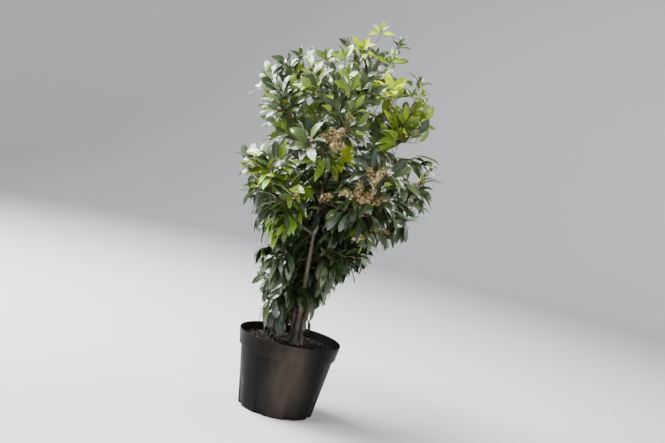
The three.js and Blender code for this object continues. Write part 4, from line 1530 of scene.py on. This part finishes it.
def blossom_mesh():
    shape = Shape()
    for n, (path, _) in enumerate(RACEMES):
        add_paths(shape, [path], np.linspace(0, 1, 9), 6, FLOWER_STALK)
        for k in range(RACEME["flowers"]):
            add_flower(shape, path, n, k)
    return shape.mesh("blossom", SHRUB_PLACE)


# The pot: turned from its profile, with shallow flutes over its drain slots

POT_SEGMENTS = 240
POT_STEP = 5.5
OUT_OF_ROUND = {"oval": 0.5, "ripple": 0.25, "ripples": 5}
SHARP_ANGLE = 38
SHOULDER = POT_HEIGHT - BAND_HEIGHT
SLOT_CUTTER = {"corner": 4, "steps": 5, "inside": 10, "outside": 12, "below": 3}


def wall_radius(z):
    return lerp(POT_BASE_RADIUS, WALL_TOP_RADIUS, z / POT_HEIGHT)


# The radius of the rim's band at its lower edge
BAND_RADIUS = wall_radius(SHOULDER) + BAND_STEP


def smooth(v):
    return v * v * (3 - 2 * v)


def rounded(a, corner, b, radius, steps=4):
    """Points of a rounded corner of a profile."""
    a, corner, b = (np.array(p, float) for p in (a, corner, b))
    start, end = corner + units(a - corner) * radius, corner + units(b - corner) * radius
    t = np.linspace(0, 1, steps + 1)[:, None]
    return list((1 - t) ** 2 * start + 2 * (1 - t) * t * corner + t ** 2 * end)


def pot_profile():
    """Radius and height along the pot's section, from the middle of its underside round to its floor."""
    # Each corner's radius and height, and how far it is rounded
    keys = np.array([
        (0, 0, 0), (POT_BASE_RADIUS, 0, 3.2), (wall_radius(SHOULDER), SHOULDER - 1, 1.6),
        (BAND_RADIUS, SHOULDER + 0.5, 1.4), (POT_RIM_RADIUS - 0.5, POT_HEIGHT - 6, 1.2),
        (POT_RIM_RADIUS, POT_HEIGHT, 1.3), (POT_RIM_RADIUS - POT_WALL, POT_HEIGHT, 1.2),
        (BAND_RADIUS - POT_WALL, SHOULDER + 3, 2), (wall_radius(SHOULDER - 4) - POT_WALL, SHOULDER - 4, 2),
        (POT_BASE_RADIUS - POT_WALL + 0.5, POT_FLOOR, 3), (0, POT_FLOOR, 0),
    ], float)
    points = [keys[0, :2]]
    for before, key, after in zip(keys, keys[1:], keys[2:]):
        points += rounded(before[:2], key[:2], after[:2], key[2])
    return np.array(points + [keys[-1, :2]])


def densified(profile, most):
    """A profile with no step longer than most."""
    points = [profile[0]]
    for a, b in zip(profile[:-1], profile[1:]):
        steps = max(1, math.ceil(np.linalg.norm(b - a) / most))
        points += [lerp(a, b, k / steps) for k in range(1, steps + 1)]
    return np.array(points)


def pot_surface():
    """The pot turned from its profile, a little out of round, with flutes pressed into its outside."""
    profile = densified(pot_profile(), POT_STEP)
    turn = angles(POT_SEGMENTS)
    radius, z = profile[:, :1], profile[:, 1:]
    outer = np.arange(len(profile))[:, None] < np.argmax(profile[:, 1]) + 1
    slot_turn = TURN / DRAIN_SLOTS
    beside = np.abs((turn % slot_turn) - slot_turn / 2)[None] * radius
    across = np.clip((FLUTE["width"] / 2 - beside) / FLUTE["edge"] + 0.5, 0, 1)
    below = FLUTE["height"] - z - FLUTE["arch"] * beside ** 2
    upward = np.clip(below / FLUTE["upper_edge"] + 0.5, 0, 1)
    flute = FLUTE["depth"] * smooth(across) * smooth(upward) * (outer & (z > 0.5))
    wobble = (OUT_OF_ROUND["oval"] * np.sin(2 * turn + 0.6) * (z / POT_HEIGHT) ** 2
              + OUT_OF_ROUND["ripple"] * np.sin(OUT_OF_ROUND["ripples"] * turn + z / 60))
    radius = np.where(radius > 1, radius - flute + wobble * np.clip(z / 30, 0, 1), radius)
    return turned_round(radius, turn, z)


def slot_cutters():
    """Blocks with rounded upper corners that cut the drain slots."""
    half, top, low = DRAIN_SLOT["width"] / 2, DRAIN_SLOT["height"], -SLOT_CUTTER["below"]
    corners = [(-half, low), (-half, top), (half, top), (half, low)]
    section = np.array([corners[0], *rounded(*corners[:3], SLOT_CUTTER["corner"], SLOT_CUTTER["steps"]),
                        *rounded(*corners[1:], SLOT_CUTTER["corner"], SLOT_CUTTER["steps"]), corners[3]])
    n = len(section)
    shape = Shape()
    for k in range(DRAIN_SLOTS):
        degrees = 360 * (k + 0.5) / DRAIN_SLOTS
        out, beside = polar(1, degrees, 0), polar(1, degrees + 90, 0)
        ends = [POT_BASE_RADIUS - SLOT_CUTTER["inside"], POT_BASE_RADIUS + SLOT_CUTTER["outside"]]
        points = np.array([out * r + beside * x + UP * z for r in ends for x, z in section])
        shape.add(points, grid_faces(2, n, around=True)[:, ::-1])
        shape.add(points[:n], [range(n)])
        shape.add(points[n:], [range(n)[::-1]])
    return welded(shape.mesh("slots"))


def cut(mesh, cutter):
    """A mesh with a closed cutter taken away from it."""
    body, tool = in_scene("cut_body", mesh), in_scene("cut_tool", cutter)
    change = body.modifiers.new("cut", "BOOLEAN")
    change.object, change.operation, change.solver = tool, "DIFFERENCE", "EXACT"
    result = bpy.data.meshes.new_from_object(body.evaluated_get(bpy.context.evaluated_depsgraph_get()))
    for thing in (body, tool):
        bpy.data.objects.remove(thing)
    return result


def pot_mesh():
    surface = pot_surface()
    shape = Shape()
    rings = surface[1:-1]
    shape.add(rings, grid_faces(len(rings), POT_SEGMENTS, around=True))
    shape.add_fan(rings[0], surface[0, 0], -1)
    shape.add_fan(rings[-1], surface[-1, 0])
    mesh = cut(welded(shape.mesh("pot")), slot_cutters())
    mesh.name = "pot"
    mesh.set_sharp_from_angle(angle=math.radians(SHARP_ANGLE))
    return mesh


def welded(mesh, distance=1e-6):
    """A mesh whose coinciding points are one, with its faces turned outwards."""
    work = bmesh.new()
    work.from_mesh(mesh)
    bmesh.ops.remove_doubles(work, verts=work.verts, dist=distance)
    bmesh.ops.recalc_face_normals(work, faces=work.faces)
    work.to_mesh(mesh)
    work.free()
    return mesh


# Soil: bumpy compost with chips of bark on it

SOIL = {"rings": 46, "sides": 160, "bump": 2.6, "inset": 0.4, "middle": 14}
CHIPS = {"count": 1750, "least": 1.4, "most": 8.5, "from": 16, "to": POT_RIM_RADIUS - 10, "ragged": 0.7,
         "above": 1.2, "tip": 0.9, "long": (1, 1), "wide": 0.7, "flat": (0.2, 0.35)}
# The chips are dark in themselves and are made darker still as painted shade, like the compost.
CHIP_COLOURS = [
    ("chip_dark", (0.006, 0.005, 0.004), 0.9, 0.25), ("chip_red", (0.034, 0.014, 0.010), 0.85, 0.25),
    ("chip_brown", (0.014, 0.010, 0.007), 0.9, 0.25), ("chip_tan", (0.075, 0.055, 0.038), 0.85, 0.25),
]
CHIP_SHARES = ((0.45, 0), (0.62, 1), (0.97, 2), (1.0, 3))


def soil_height(radius):
    return SOIL_LEVEL - SOIL_EDGE_DROP * (radius / (POT_RIM_RADIUS - 8)) ** 2


def soil_profile():
    """Radius and height along the soil's section: up the pot's wall, and then in over the top."""
    edge = SOIL_LEVEL - SOIL_EDGE_DROP
    rim = lerp(BAND_RADIUS, POT_RIM_RADIUS - 1, (edge - SHOULDER) / BAND_HEIGHT) - POT_WALL
    radii = np.linspace(rim - SOIL["inset"], SOIL["middle"], SOIL["rings"])
    low = np.array([(SOIL["middle"], POT_FLOOR + 0.5), (POT_BASE_RADIUS - POT_WALL - 1.5, POT_FLOOR + 0.5),
                    (wall_radius(SHOULDER - 4) - POT_WALL - 1, SHOULDER - 3),
                    (BAND_RADIUS - POT_WALL - 1, SHOULDER + 4)])
    return low, np.stack([radii, soil_height(radii)], -1)


def soil_mesh():
    """A closed body from the pot's floor to the bumpy top."""
    low, top = soil_profile()
    profile = np.concatenate([low, top])
    points = turned_round(profile[:, :1], angles(SOIL["sides"]), profile[:, 1:])
    upper = points[len(low):]
    upper[..., 2] += SOIL["bump"] * bumps(upper, SOIL_BUMPS)
    shape = Shape()
    shape.add(points, grid_faces(len(points), SOIL["sides"], around=True))
    shape.add_fan(points[0], points[0].mean(axis=0), -1)
    shape.add_fan(points[-1], points[-1].mean(axis=0))
    return welded(shape.mesh("soil"))


def chip_points(k):
    """The corners of one chip: a box with ragged corners, spun and tipped."""
    size = lerp(CHIPS["least"], CHIPS["most"], chance(k, 4, 93) ** 3)
    long, flat = varied(CHIPS["long"], chance(k, 5, 94)), varied(CHIPS["flat"], chance(k, 6, 95))
    stretch = size * np.array([long, CHIPS["wide"], flat])
    box = np.array([(x, y, z) for z in (-1, 1) for y in (-1, 1) for x in (-1, 1)], float)
    jitter = np.array([[chance(k, i, 96 + j) - 0.5 for j in range(3)] for i in range(8)]) * CHIPS["ragged"]
    axis = units(np.array([chance(k, 7, 97) - 0.5, chance(k, 8, 98) - 0.5, 0.8]))
    spin = Matrix.Rotation(TURN * chance(k, 9, 99), 3, Vector(axis))
    tip = Matrix.Rotation(CHIPS["tip"] * (chance(k, 10, 100) - 0.5), 3, "X")
    return (box + jitter) * stretch / 2 @ np.array(tip).T @ np.array(spin).T


def chip_mesh():
    """Flakes of bark and crumbs of compost that lie on the soil."""
    shape = Shape()
    faces = [(0, 2, 3, 1), (4, 5, 7, 6), (0, 1, 5, 4), (2, 6, 7, 3), (0, 4, 6, 2), (1, 3, 7, 5)]
    for k in range(CHIPS["count"]):
        radius = math.sqrt(lerp(CHIPS["from"] ** 2, CHIPS["to"] ** 2, chance(k, 1, 90)))
        height = soil_height(radius) + CHIPS["above"] * chance(k, 3, 92)
        place = polar(radius, 360 * chance(k, 2, 91), height)
        shape.add(chip_points(k) + place, faces, picked(chance(k, 11, 101), CHIP_SHARES))
    mesh = shape.mesh("chips")
    mesh.polygons.foreach_set("use_smooth", np.zeros(len(mesh.polygons), bool))
    return mesh


# The camera and the studio: a pale round cove, a soft sky and four large lights, with sizes in metres

COVE = {"rings": (0.05, 1.0, 2.5), "floor": 4.6, "curve": 1.6, "top": 5.2, "sides": 128, "curve_steps": 17}
STUDIO_PAINT = ("studio_paint", (0.58, 0.59, 0.60), 0.9, 0.2)
SKY = {"Color": (0.94, 0.97, 1.0, 1), "Strength": 0.34}
LIGHTS = [
    # name, place, aim, size, watts, colour
    ("key", (-1.2, -1.0, 4.0), (0.0, 0.0, 0.9), 1.4, 220, (1.0, 0.98, 0.93)),
    ("glint", (-2.1, 0.7, 2.6), (0.0, 0.0, 0.95), 2.6, 420, (0.96, 0.98, 1.0)),
    ("warm", (1.9, 1.2, 2.5), (0.0, 0.0, 0.9), 1.2, 50, (1.0, 0.96, 0.84)),
    ("fill", (2.6, -2.4, 2.0), (0.0, 0.0, 0.8), 2.2, 4, (0.95, 0.98, 1.0)),
]


def aimed(place, aim):
    """The matrix of something at a place that looks at its aim."""
    place, aim = Vector(place), Vector(aim)
    return Matrix.Translation(place) @ (aim - place).to_track_quat("-Z", "Y").to_matrix().to_4x4()


def add_camera():
    data = bpy.data.cameras.new("camera")
    data.lens = CAMERA["lens"]
    camera = in_scene("camera", data)
    facing = aimed(Vector(CAMERA["place"]) * MM, Vector(CAMERA["aim"]) * MM)
    camera.matrix_world = facing @ Matrix.Rotation(LEAN, 4, "Z")
    bpy.context.scene.camera = camera


def add_cove():
    """The floor, which curves up into a wall all round."""
    curve = [(COVE["floor"] + COVE["curve"] * math.sin(a), COVE["curve"] * (1 - math.cos(a)))
             for a in np.linspace(0, math.pi / 2, COVE["curve_steps"])]
    rings = [(radius, 0) for radius in COVE["rings"]]
    profile = np.array([*rings, *curve, (curve[-1][0], COVE["top"])]) / MM
    points = turned_round(profile[:, :1], angles(COVE["sides"]), profile[:, 1:])
    shape = Shape()
    shape.add(points, grid_faces(len(profile), COVE["sides"], around=True)[:, ::-1])
    shape.add(points[0], [range(COVE["sides"])])
    floor = in_scene("studio", shape.mesh("studio"))
    floor.data.materials.append(plain_finish(*STUDIO_PAINT))


def add_light():
    world = bpy.data.worlds.new("sky")
    world.use_nodes = True
    set_inputs(world.node_tree.nodes["Background"], SKY)
    bpy.context.scene.world = world
    for name, place, aim, size, watts, colour in LIGHTS:
        data = bpy.data.lights.new(name, "AREA")
        data.shape, data.size, data.energy, data.color = "DISK", size, watts, colour
        in_scene(name, data).matrix_world = aimed(place, aim)


# The scene. The numbers are those of the stems in STEMS, whose leaves make up each piece.

LEAF_PIECES = {
    "leader_leaves": [0], "stem_leaves_right": [1, 4, 5], "stem_leaves_left": [2, 3],
    "high_shoot_leaves": [6, 7, 8, 9, 10], "low_shoot_leaves": [11, 12, 13, 14, 15, 16],
}

add_camera()
add_cove()
add_light()

RACEMES = spike_racemes() + front_racemes()
TOP = top_sprays()
crown, shoots = grow_leaves()
finishes = leaf_finishes()
for name, owners in LEAF_PIECES.items():
    leaves = [leaf for own in owners for leaf in crown[own]]
    nodes = [f"{STEMS[own].name}_foliage" for own in owners]
    piece(name, leaf_mesh(name, leaves), finishes, nodes)
every_leaf = [leaf for leaves in crown for leaf in leaves]
boughs = [f"{stem.name}_bough" for stem in STEMS]
piece("petioles", petiole_mesh(every_leaf), plain_finishes(PETIOLE_COLOURS))
piece("twigs", twig_mesh(crown, shoots), plain_finishes(TWIG_COLOURS))
piece("stems", wood_mesh(), [bark_finish()], ["trunk", *boughs])
piece("blossom", blossom_mesh(), plain_finishes(BLOOM))
piece("pot_shell", pot_mesh(), [pot_finish()], ["pot"])
piece("compost", soil_mesh(), [soil_finish()], ["soil"])
piece("bark_chips", chip_mesh(), plain_finishes(CHIP_COLOURS))
